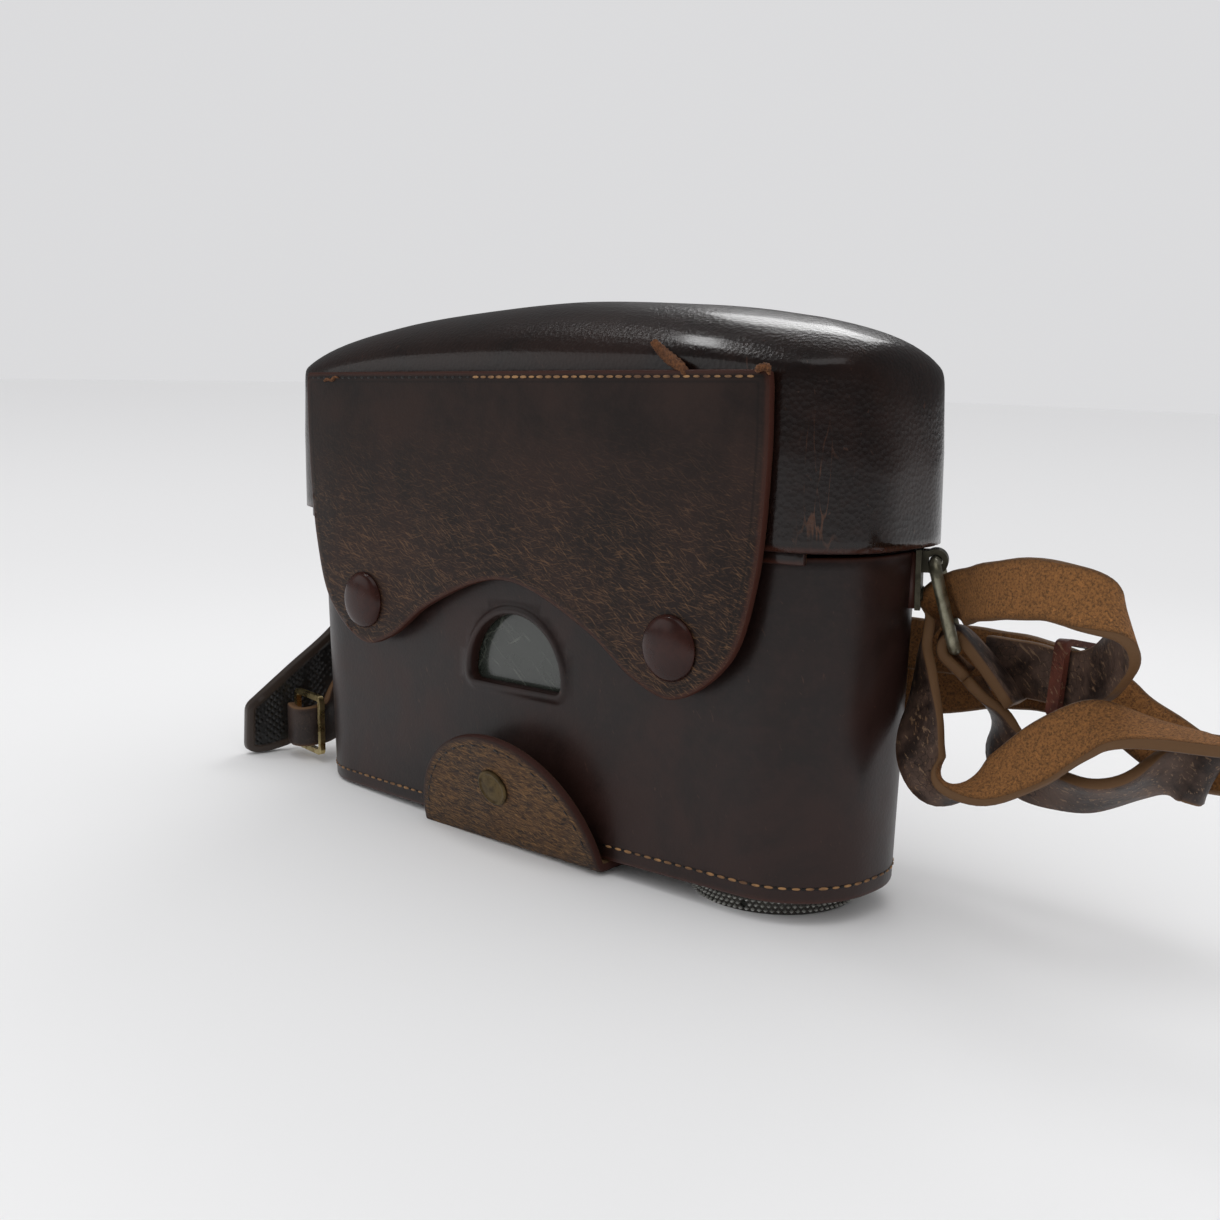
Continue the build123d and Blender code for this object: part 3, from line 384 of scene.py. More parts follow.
# Leather from its look: two tones, cut edges, a flesh side, pores, creases, pressed lines and wear.
def leatherMaterial(name, look):
    look = {**leatherUsual, **look}
    material, tree = newMaterial(name)
    where = objectPlace(tree)
    cloud = noise(tree, where, look["cloud"], 6.0, 0.62, 0.4)
    color = blendColor(tree, remap(tree, cloud, 0.36, 0.66), look["dark"], look["light"])
    fine = noise(tree, where, 420, 3.0)
    color = blendColor(tree, remap(tree, fine, 0.45, 0.75, 0, 0.35), color, look["light"])
    rough = remap(tree, cloud, 0.3, 0.7, *look["rough"], kind="LINEAR")
    layers = [
        (cells(tree, where, look["pores"]), look["poreDepth"], 0.12),
        (noise(tree, where, 90, 5.0), 0.22, 0.5),
    ]
    zone = zoned(tree, look["zone"])
    for turn, density, length, cut, tone, amount in look["marks"]:
        mark = sums(tree, "MULTIPLY", scratches(tree, turn, density, length, cut), amount)
        mark = sums(tree, "MULTIPLY", mark, zone)
        color = blendColor(tree, mark, color, tone)
        layers.append((mark, -0.25, 0.08))
    if look["cracks"]:
        size, depth, tone, amount, squeeze = look["cracks"]
        place = objectPlace(tree, squeeze, (0.2, 0.5, 0.1))
        crack = crackLines(tree, place, size, size * 0.5, 1.6 / size, (0.008, 0.05))
        patchy = noise(tree, where, size * 0.22, 3.0)
        crack = sums(tree, "MULTIPLY", crack, remap(tree, patchy, 0.42, 0.6, 0.05, 1))
        crack = sums(tree, "MULTIPLY", crack, zoned(tree, look["crackZone"]))
        color = blendColor(tree, sums(tree, "MULTIPLY", crack, amount), color, tone)
        layers.append((crack, -0.5, depth))
    if look["shade"]:
        low, high, tone = look["shade"]
        east = add(tree, "ShaderNodeSeparateXYZ", {"Vector": where}).outputs["X"]
        color = blendColor(tree, remap(tree, east, low, high, 0.75, 0), color, tone)
    if look["sheet"]:
        edge, depth = reading(tree, "edge"), reading(tree, "depth")
        fray = sums(tree, "ADD", edge, sums(tree, "MULTIPLY", noise(tree, where, 900), -0.5))
        # lines pressed at a distance from the cut edge, and at a height
        pressed = [(edge, 0.45, (12, 9, 8), line) for line in look["grooves"]]
        pressed += [(reading(tree, "height"), 0.6, (9, 6, 5), line) for line in look["rows"]]
        for value, amount, tone, (at, half, deep) in pressed:
            away = sums(tree, "ABSOLUTE", sums(tree, "SUBTRACT", value, at))
            layers.append((remap(tree, away, 0, half, 1, 0), -0.9, deep))
            color = blendColor(tree, remap(tree, away, 0, half, amount, 0), color, tone)
        color = blendColor(tree, remap(tree, fray, 0, look["wearWidth"], look["wear"], 0), color, look["worn"])
        cutFace = remap(tree, depth, 0.08, 0.2)
        color = blendColor(tree, cutFace, color, look["raw"])
        flesh = remap(tree, depth, 0.85, 0.97)
        nap = noise(tree, where, 2300, 4.0, 0.75)
        suede = blendColor(tree, remap(tree, nap, 0.34, 0.6), scaled(look["flesh"], look["nap"]), look["flesh"])
        tuft = remap(tree, noise(tree, where, 900, 5.0, 0.8), 0.56, 0.68, 0, 0.55)
        suede = blendColor(tree, tuft, suede, scaled(look["flesh"], 1.28))
        # painted shade: the suede darkens within 1.4 mm of the cut edge
        suede = blendColor(tree, remap(tree, edge, 0.2, 1.4, 0.45, 0), suede, scaled(look["flesh"], 0.5))
        layers.append((sums(tree, "MULTIPLY", nap, flesh), 0.9, 0.4))
        color = blendColor(tree, flesh, color, suede)
        for face, least in ((cutFace, 0.72), (flesh, 0.95)):
            rough = sums(tree, "MAXIMUM", rough, sums(tree, "MULTIPLY", face, least))
    inputs = {"Base Color": color, "Roughness": rough, "Specular IOR Level": look["shine"]}
    inputs.update({"Coat Weight": look["coat"], "Coat Roughness": look["coatRough"]})
    finishMaterial(tree, inputs, layers)
    return material


# Old metal: two tones, grime in spots and small pits; the rim is a darker ring about an upright axis, painted shadow.
def metalMaterial(name, dark, light, grime, rough, metal, cloud=350, soil=0.5, pit=0.3, shine=0.5, rim=None):
    material, tree = newMaterial(name)
    where = objectPlace(tree)
    clouds = noise(tree, where, cloud, 6.0, 0.65, 0.3)
    spots = noise(tree, where, 1500, 5.0, 0.7)
    color = blendColor(tree, remap(tree, clouds, 0.35, 0.65), dark, light)
    color = blendColor(tree, remap(tree, spots, 0.58, 0.72, 0, soil), color, grime)
    if rim:
        centre, low, high, tone = rim
        apart = vectorMath(tree, "SUBTRACT", {0: where, 1: centre})
        flat = vectorMath(tree, "MULTIPLY", {0: apart, 1: (1, 1, 0)})
        away = vectorMath(tree, "LENGTH", {0: flat}, "Value")
        color = blendColor(tree, remap(tree, away, low, high), color, tone)
    inputs = {"Base Color": color, "Metallic": metal, "Specular IOR Level": shine}
    inputs["Roughness"] = remap(tree, clouds, 0.3, 0.7, *rough, kind="LINEAR")
    finishMaterial(tree, inputs, [(spots, pit, 0.05), (clouds, 0.15, 0.2)])
    return material


def feltMaterial(name, dark, light, sheen):
    material, tree = newMaterial(name)
    where = objectPlace(tree)
    nap = noise(tree, where, 1600, 3.0, 0.7)
    color = blendColor(tree, remap(tree, nap, 0.3, 0.7), dark, light)
    color = blendColor(tree, remap(tree, noise(tree, where, 60), 0.4, 0.7, 0, 0.4), color, dark)
    inputs = {"Base Color": color, "Roughness": 0.95, "Sheen Weight": sheen, "Sheen Roughness": 0.6}
    finishMaterial(tree, inputs, [(nap, 0.8, 0.25)])
    return material


# A mark is its turn, density, length, cut, tone and amount. A crack is its size, depth, tone, amount and squeeze.
bodyLook = {
    "dark": (26, 15, 13),
    "light": (45, 27, 23),
    "worn": (70, 37, 27),
    "raw": (46, 24, 18),
    "flesh": (120, 84, 52),
    "rough": (0.34, 0.5),
    "shine": 0.3,
    "coat": 0.1,
    "coatRough": 0.22,
    "pores": 1500,
    "poreDepth": 0.12,
    "wear": 0.55,
    "rows": [(3.0, 0.4, 0.22)],
    "marks": [((0.2, 0.5, 0.1), 1100, 6, 0.67, (92, 62, 48), 0.25)],
}
lidLook = {
    **bodyLook,
    "dark": (19, 10, 8),
    "light": (34, 19, 14),
    "rough": (0.24, 0.4),
    "shine": 0.22,
    "coat": 0.32,
    "coatRough": 0.11,
    "cloud": 34,
    "pores": 1150,
    "poreDepth": 0.5,
    "rows": (),
    "cracks": (520, 0.08, (92, 58, 38), 0.5, (1, 1, 0.16)),
    "crackZone": ("scuff", 0.1, 0.9),
}
flapLook = {
    **bodyLook,
    "dark": (27, 17, 14),
    "light": (44, 29, 24),
    "raw": (64, 32, 23),
    "rough": (0.38, 0.54),
    "grooves": [(2.1, 0.45, 0.3)],
    "rows": [(94.4, 0.4, 0.22)],
    "shine": 0.2,
    "coat": 0.0,
    "cracks": (760, 0.05, (96, 68, 46), 0.25, (1.1, 1, 0.6)),
    "crackZone": ("height", 82.0, 50.0),
    "zone": ("height", 92.0, 42.0),
    "marks": [
        ((0.0, 1.15, 0.0), 4300, 15, 0.58, (118, 86, 58), 0.45),
        ((0.0, 1.42, 0.0), 3900, 17, 0.59, (112, 80, 54), 0.45),
        ((0.0, 1.75, 0.0), 4100, 15, 0.6, (116, 84, 56), 0.4),
        ((0.0, 0.85, 0.0), 3600, 13, 0.61, (136, 100, 68), 0.45),
    ],
}
tabLook = {
    "dark": (40, 26, 18),
    "light": (74, 50, 30),
    "worn": (44, 24, 18),
    "raw": (58, 28, 20),
    "flesh": (120, 90, 58),
    "rough": (0.5, 0.7),
    "shine": 0.32,
    "pores": 900,
    "poreDepth": 0.3,
    "wear": 0.9,
    "wearWidth": 1.1,
    "grooves": [(1.9, 0.4, 0.25)],
    "marks": [
        ((0.0, 1.45, 0.0), 3600, 11, 0.5, (116, 84, 48), 0.65),
        ((0.0, 1.2, 0.0), 3200, 9, 0.55, (26, 17, 12), 0.75),
        ((0.0, 1.75, 0.0), 3000, 9, 0.57, (22, 14, 10), 0.75),
        ((0.0, 1.0, 0.0), 3200, 9, 0.58, (146, 108, 64), 0.5),
    ],
}
strapLook = {
    "dark": (38, 27, 23),
    "light": (88, 68, 57),
    "worn": (74, 50, 34),
    "raw": (96, 67, 38),
    "flesh": (144, 97, 52),
    "nap": 0.6,
    "shade": (-0.072, -0.05, (34, 23, 19)),
    "rough": (0.42, 0.62),
    "shine": 0.4,
    "cloud": 130,
    "pores": 1300,
    "poreDepth": 0.3,
    "wear": 0.55,
    "wearWidth": 0.8,
    "cracks": (620, 0.12, (24, 18, 15), 0.85, (1, 1, 1.3)),
    "marks": [
        ((0.4, 0.9, 0.2), 1300, 5, 0.6, (140, 112, 86), 0.6),
        ((1.0, 0.3, 1.2), 1300, 5, 0.62, (128, 98, 72), 0.6),
    ],
}
keeperLook = {**strapLook, "dark": (66, 32, 24), "light": (98, 50, 36), "sheet": False}
keeperLook["cracks"] = (900, 0.1, (36, 18, 13), 0.6, (1, 1, 1))
leathers = {
    "body": ("wornBrownLeather", bodyLook),
    "lid": ("glossyLidLeather", lidLook),
    "flap": ("scratchedFlapLeather", flapLook),
    "tab": ("bareTabLeather", tabLook),
    "strap": ("crackedStrapLeather", strapLook),
    "keeper": ("redBrownKeeper", keeperLook),
    "hinge": ("backHingeLeather", {**bodyLook, "grooves": [(2.0, 0.4, 0.2)]}),
    "inside": ("insideBoard", {**bodyLook, "sheet": False, "light": (70, 52, 42)}),
    # stitch holes drawn as beads in a darker copy of the body leather: painted shade in the holes
    "hole": ("shadedStitchHole", {**bodyLook, "sheet": False, "dark": (10, 6, 5), "light": (18, 11, 9)}),
}
lacquer = {"cloud": 120, "soil": 0.15, "pit": 0.06, "shine": 0.28}
# painted shadow: a dark ring round the knob's knurled band, between the knurl diamonds
knurlShadowRim = ((0.0523, 0, 0), 0.0151, 0.0155, (66, 64, 60))
# dark, light and grime tones, the range of roughness, the share of metal and what differs from usual
metals = {
    "brass": ("antiqueBrass", (104, 82, 48), (168, 140, 92), (52, 42, 28), (0.3, 0.5), 1.0, {}),
    "agedBrass": ("dullOldBrass", (62, 50, 32), (104, 88, 58), (34, 26, 18), (0.34, 0.55), 0.85, {}),
    "loop": ("paleBrassWire", (170, 148, 96), (222, 204, 150), (98, 80, 48), (0.2, 0.38), 1.0, {"soil": 0.3}),
    "ring": ("greyPlatedWire", (112, 108, 90), (156, 152, 132), (74, 66, 48), (0.3, 0.46), 0.85, {}),
    "knob": ("brightKnurledMetal", (176, 176, 170), (216, 216, 210), (120, 112, 98), (0.3, 0.45), 0.75, {"soil": 0.3}),
    # a darker copy of the knob metal for the knob under the knurl diamonds: painted shade
    "shadedKnobBase": ("knurlShadow", (150, 150, 144), (190, 190, 184), (100, 94, 82), (0.35, 0.5), 0.7, {"rim": knurlShadowRim}),
    "lug": ("dullLugMetal", (56, 53, 43), (88, 84, 70), (38, 33, 24), (0.4, 0.6), 0.8, {}),
    "cap": ("brownLacquer", (40, 19, 15), (54, 27, 21), (70, 42, 34), (0.2, 0.3), 0.0, lacquer),
}
materials = {key: leatherMaterial(*look) for key, look in leathers.items()}
materials.update({key: metalMaterial(*look[:-1], **look[-1]) for key, look in metals.items()})
materials["felt"] = feltMaterial("redVelvetLining", (70, 26, 24), (112, 44, 38), 0.25)
materials["fray"] = feltMaterial("frayedEnds", (66, 38, 20), (116, 74, 42), 0.0)


def paneMaterial():
    material, tree = newMaterial("cloudyPane")
    where = objectPlace(tree)
    marks = crackLines(tree, where, 28, 130, 0.012, (0.002, 0.009))
    for turn, density, length, cut in (((0, 0.9, 0), 1300, 16, 0.62), ((0, 2.0, 0), 1100, 14, 0.64)):
        marks = sums(tree, "ADD", marks, scratches(tree, turn, density, length, cut))
    marks = sums(tree, "MINIMUM", marks, 1.0)
    inputs = {"Base Color": blendColor(tree, sums(tree, "MULTIPLY", marks, 0.24), (44, 48, 43), (118, 122, 112))}
    inputs["Roughness"] = remap(tree, noise(tree, where, 120), 0.35, 0.65, 0.12, 0.32, "LINEAR")
    inputs["Coat Weight"] = 0.5
    finishMaterial(tree, inputs, [(noise(tree, where, 55, 2.0), 0.25, 0.6), (marks, -0.3, 0.05)])
    return material


def rubberMaterial():
    material, tree = newMaterial("pebbledRubber")
    across = objectPlace(tree, turn=(math.radians(40), 0, 0))
    dome = remap(tree, cells(tree, across, 780, smooth=0.22), 0.1, 0.6, 1, 0)
    edge = reading(tree, "edge")
    border = remap(tree, edge, 1.7, 2.3, 1, 0)
    dust = noise(tree, across, 60, 5.0)
    color = blendColor(tree, remap(tree, dust, 0.45, 0.7, 0, 0.3), (15, 14, 13), (46, 43, 39))
    color = blendColor(tree, border, color, (52, 40, 32))
    pebbles = sums(tree, "MULTIPLY", dome, sums(tree, "SUBTRACT", 1.0, border))
    rim = remap(tree, edge, 1.5, 2.4, 1, 0)
    layers = [(pebbles, 0.85, 0.45), (rim, 0.7, 0.5), (noise(tree, across, 900, 3.0), 0.15, 0.1)]
    finishMaterial(tree, {"Base Color": color, "Roughness": 0.46, "Coat Weight": 0.1}, layers)
    return material


def threadMaterial():
    material, tree = newMaterial("waxedThread")
    tone = noise(tree, objectPlace(tree), 260, 3.0)
    color = blendColor(tree, remap(tree, tone, 0.35, 0.65), (96, 66, 40), (158, 118, 74))
    strands = noise(tree, objectPlace(tree, turn=(0.4, 0.6, 0.3)), 2600, 2.0)
    finishMaterial(tree, {"Base Color": color, "Roughness": 0.7}, [(strands, 0.6, 0.1)])
    return material


materials["pane"] = paneMaterial()
materials["rubber"] = rubberMaterial()
materials["thread"] = threadMaterial()
print("materials:", len(materials))


# Repeated parts through Geometry Nodes.
beads = {
    "stitch": ("GeometryNodeMeshUVSphere", {"Segments": 10, "Rings": 7, "Radius": 0.5}),
    "knurl": ("GeometryNodeMeshCone", {"Vertices": 4, "Radius Top": 0.12, "Radius Bottom": 0.5, "Depth": 1.0}),
}


def scatterTree(name, kind):
    tree = bpy.data.node_groups.new(name, "GeometryNodeTree")
    face = tree.interface
    face.new_socket("Geometry", in_out="INPUT", socket_type="NodeSocketGeometry")
    for label, usual in (("Length", 1.6), ("Width", 0.55), ("Height", 0.4), ("Jitter", 0.12)):
        face.new_socket(label, in_out="INPUT", socket_type="NodeSocketFloat").default_value = usual
    face.new_socket("Seed", in_out="INPUT", socket_type="NodeSocketInt").default_value = 7
    face.new_socket("Material", in_out="INPUT", socket_type="NodeSocketMaterial")
    face.new_socket("Geometry", in_out="OUTPUT", socket_type="NodeSocketGeometry")
    entry = add(tree, "NodeGroupInput").outputs
    along, out = (
        add(tree, "GeometryNodeInputNamedAttribute", {"Name": label}, data_type="FLOAT_VECTOR").outputs[0]
        for label in ("along", "out")
    )
    facing = add(tree, "FunctionNodeAlignRotationToVector", {"Vector": out}, axis="Z").outputs[0]
    turn = {"Rotation": facing, "Vector": along}
    facing = add(tree, "FunctionNodeAlignRotationToVector", turn, axis="X", pivot_axis="Z").outputs[0]
    shape, inputs = beads[kind]
    bead = add(tree, shape, inputs).outputs[0]
    low, high = (sums(tree, operation, 1.0, entry["Jitter"]) for operation in ("SUBTRACT", "ADD"))
    inputs = {"Seed": entry["Seed"], 2: low, 3: high}
    chance = add(tree, "FunctionNodeRandomValue", inputs, data_type="FLOAT").outputs[1]
    size = add(tree, "ShaderNodeCombineXYZ", {"X": entry["Length"], "Y": entry["Width"], "Z": entry["Height"]})
    grown = vectorMath(tree, "MULTIPLY", {0: size.outputs[0], 1: chance})
    grown = vectorMath(tree, "SCALE", {0: grown, "Scale": mm})
    inputs = {"Points": entry["Geometry"], "Instance": bead, "Rotation": facing, "Scale": grown}
    laid = add(tree, "GeometryNodeInstanceOnPoints", inputs).outputs[0]
    real = add(tree, "GeometryNodeRealizeInstances", {"Geometry": laid}).outputs[0]
    painted = add(tree, "GeometryNodeSetMaterial", {"Geometry": real, "Material": entry["Material"]}).outputs[0]
    add(tree, "NodeGroupOutput", {0: painted})
    return tree


trees = {"stitch": scatterTree("threadStitches", "stitch"), "knurl": scatterTree("knurlDiamonds", "knurl")}


# rows: points, directions along the row and directions out of the surface, in millimetres
def scatter(name, kind, rows, look):
    points = np.vstack([r[0] for r in rows])
    obj = makeObject(name, points, [])
    for label, k in (("along", 1), ("out", 2)):
        attribute = obj.data.attributes.new(label, "FLOAT_VECTOR", "POINT")
        values = unit(np.vstack([r[k] for r in rows]))
        attribute.data.foreach_set("vector", values.astype(np.float32).ravel())
    modifier = obj.modifiers.new("scatter", "NODES")
    modifier.node_group = trees[kind]
    for item in trees[kind].interface.items_tree:
        if item.item_type == "SOCKET" and item.in_out == "INPUT" and item.name in look:
            modifier[item.identifier] = look[item.name]
    mesh = evaluatedMesh(obj)
    obj.modifiers.clear()
    obj.data = mesh
    mesh.shade_smooth()
    return obj


# The lower shell.
body = {
    "height": 63.4,
    "halfWidth": 74.5,
    "rimHalfWidth": 77.5,
    "halfDepth": 19.0,
    "endRadius": 17.5,
    "bow": 1.4,
    "thickness": 2.2,
    # height and pitch of the stitches near the base
    "row": 3.0,
    "pitch": 2.5,
}
window = {"halfWidth": 13.3, "low": 31.6, "shoulder": 34.6, "top": 46.4, "corner": 1.2}


# Plan outline from the middle of the front, anticlockwise, with the same count of points for each size.
def planOutline(halfWidth, halfDepth, radius, bow):
    x, y = halfWidth - radius, halfDepth - radius
    r = (x * x + bow * bow) / (2 * bow)
    pieces = []
    for k in np.linspace(0, 1, 24, endpoint=False):
        u = x * k
        pieces.append((u, -halfDepth - bow + r - math.sqrt(max(r * r - u * u, 0))))
    for a in np.linspace(-math.pi / 2, 0, 12, endpoint=False):
        pieces.append((x + radius * math.cos(a), -y + radius * math.sin(a)))
    for k in np.linspace(-1, 1, 3, endpoint=False):
        pieces.append((halfWidth, y * k))
    for a in np.linspace(0, math.pi / 2, 12, endpoint=False):
        pieces.append((x + radius * math.cos(a), y + radius * math.sin(a)))
    for k in np.linspace(1, 0, 24, endpoint=False):
        pieces.append((x * k, halfDepth))
    right = np.array(pieces)
    left = right[1:][::-1] * (-1, 1)
    return np.vstack([right, [[0, halfDepth]], left])


def outwardOf(loop):
    tangent = np.roll(loop, -1, 0) - np.roll(loop, 1, 0)
    return unit(np.stack([tangent[:, 1], -tangent[:, 0]], 1))


def shellLoops():
    b = body
    low = planOutline(b["halfWidth"], b["halfDepth"], b["endRadius"], b["bow"])
    high = planOutline(b["rimHalfWidth"], b["halfDepth"], b["endRadius"], b["bow"])
    middle = (low + high) / 2
    lengths = np.linalg.norm(np.roll(middle, -1, 0) - middle, axis=1)
    along = np.concatenate([[0], np.cumsum(lengths)])
    half = along[-1] / 2
    ring = np.concatenate([along[:-1] - along[-1], along])
    twice = [np.vstack([loop, loop, loop[:1]]) for loop in (low, high, outwardOf(middle))]
    return ring, half, twice


shellRing, shellHalf, shellTwice = shellLoops()


# u runs round the shell from the middle of its front, v is the height
def onShell(u, v, depth):
    low, high, outward = (placesAt(u, shellRing, loop) for loop in shellTwice)
    t = (v / body["height"])[:, None]
    flat = low * (1 - t) + high * t - outward * depth[:, None]
    return np.column_stack([flat, v])


def windowLoop(margin):
    w = window
    half, low = w["halfWidth"] + margin, w["low"] - margin
    top, shoulder = w["top"] + margin, w["shoulder"]
    rise = top - shoulder
    radius = (half * half + rise * rise) / (2 * rise)
    angle = math.asin(half / radius) if rise < radius else math.pi - math.asin(half / radius)
    arc = [(radius * math.sin(a), top - radius + radius * math.cos(a)) for a in np.linspace(angle, -angle, 26)]
    corner = w["corner"]
    base = [
        (-half, low + corner),
        (-half + 0.35 * corner, low + 0.35 * corner),
        (-half + corner, low),
        (half - corner, low),
        (half - 0.35 * corner, low + 0.35 * corner),
        (half, low + corner),
    ]
    return np.array(arc + base)


def buildBody():
    cut = {"step": 2.3, "edgeStep": 1.1, "thickness": body["thickness"], "soft": 0.45}
    outer = [(-shellHalf, 0), (shellHalf, 0), (shellHalf, body["height"]), (-shellHalf, body["height"])]
    loop = windowLoop(0)

    # the leather stands up round the window and draws in at the base
    def raised(u, v, depth):
        points = onShell(u, v, depth)
        flat = np.stack([u, v], 1)
        away = distanceTo(flat, loop)
        lift = np.interp(away, [0, 0.4, 1.5, 2.1], [0.35, 0.55, 0.5, 0], right=0)
        lift = lift * (depth < 0.9) * (~insideOf(flat, loop))
        crown = np.interp(v, [0, 2], [0.35, 0])
        points[:, 1] -= lift
        points[:, 1] += crown * np.sign(-points[:, 1]) * 0.3
        return points

    grown = [windowLoop(m) for m in (0.9, 1.4, 1.8, 2.2)]
    obj = leatherSheet("bodyLeather", outer, [loop], raised, dict(cut, extra=grown))
    return place(obj, materials["body"], "case", "leather_body", "body_shell")


bodyLeather = buildBody()
print("body:", len(bodyLeather.data.polygons))


# The domed lid.
lid = {
    "halfWidth": 80.5,
    "halfDepth": 21.0,
    "endRadius": 16.0,
    "bow": 0.8,
    "edge": 64.6,
    "backEdge": 63.8,
    "backHalf": 58.0,
    "wallTop": 95.4,
    "arch": 14.6,
    "thickness": 2.2,
    # insets of the rings that close the top
    "insets": [0, 0.12, 0.35, 0.7, 1.2, 1.9, 2.8, 4, 5.5, 7.3, 9.4, 11.7, 14.2, 16.6, 18.7, 20.2],
    # the cut edge between the faces: share of the way in and height
    "rim": [(0.12, 0.0), (0.3, -0.25), (0.7, -0.25), (0.88, 0.0)],
    # the worn crease at the right end: its middle, its width, and the height from which it fades in downwards
    "scuff": (72.5, 2.6, 92),
    # lines of the thin tongue under the front edge: place behind the front, height, depth and edge attributes
    "tongueHalf": 71,
    "tongue": [(0, 66, 0, 3.8), (0, 62.5, 0, 0.3), (0.3, 62.2, 0.4, 0)]
    + [(0.8, 62.2, 0.6, 0), (1.1, 62.5, 1, 9), (1.1, 66, 1, 9)],
    # share of the half width, drop of the walls, drop of the crown
    "stations": [
        (-0.42, 0.6, 1.6),
        (0.0, 0.0, 0.0),
        (0.42, 0.6, 1.6),
        (0.7, 2.2, 4.2),
        (0.86, 4.8, 6.8),
        (0.95, 8.6, 10.0),
        (0.985, 14.5, 14.8),
        (1.0, 22.0, 23.6),
    ],
}
lidCurve = smoothLine(lid["stations"], 14)[14:]


# Height of the top: an arch from front to back, whose foot and crown drop towards both ends.
def lidTop(x, y, inward):
    s = np.abs(x) / (lid["halfWidth"] - inward + 0.25)
    drop = np.interp(s, lidCurve[:, 0], lidCurve[:, 1])
    rise = lid["arch"] + drop - np.interp(s, lidCurve[:, 0], lidCurve[:, 2]) - inward
    half = lid["halfDepth"] + lid["bow"] / 2 - inward + 0.25
    t = np.clip(np.abs(y + lid["bow"] / 2) / half, 0, 1)
    return lid["wallTop"] - drop + rise * np.sqrt(1 - t * t)


def lidRings(inward):
    rings = []
    for k in lid["insets"]:
        fade = 1 - k / (lid["halfDepth"] - inward)
        loop = planOutline(
            lid["halfWidth"] - inward - k,
            lid["halfDepth"] - inward - k,
            max(lid["endRadius"] - inward - k, 0.02 + 0.3 * fade),
            max(lid["bow"] * fade, 0.001),
        )
        rings.append(np.column_stack([loop, lidTop(loop[:, 0], loop[:, 1], inward)]))
    wall = rings[0]
    base = np.full(len(wall), lid["edge"])
    if inward == 0:
        base[(wall[:, 1] > 20) & (np.abs(wall[:, 0]) < lid["backHalf"])] = lid["backEdge"]
    sides = []
    for t in np.linspace(0, 1, 15, endpoint=False):
        side = wall.copy()
        side[:, 2] = base + (wall[:, 2] - base) * t
        sides.append(side)
    return np.array(sides + rings), len(sides)


# From the first ring on, the rings are smoothed against their neighbours.
def softened(grid, first, rounds, strength):
    for _ in range(rounds):
        mean = (np.roll(grid, 1, 1) + np.roll(grid, -1, 1)) / 4
        mean[1:-1] += (grid[:-2] + grid[2:]) / 4
        mean[0], mean[-1] = grid[0], grid[-1]
        weight = np.clip((np.arange(len(grid)) - first) / 5, 0, 1)[:, None, None] * strength
        grid = grid + (mean - grid) * weight
    return grid


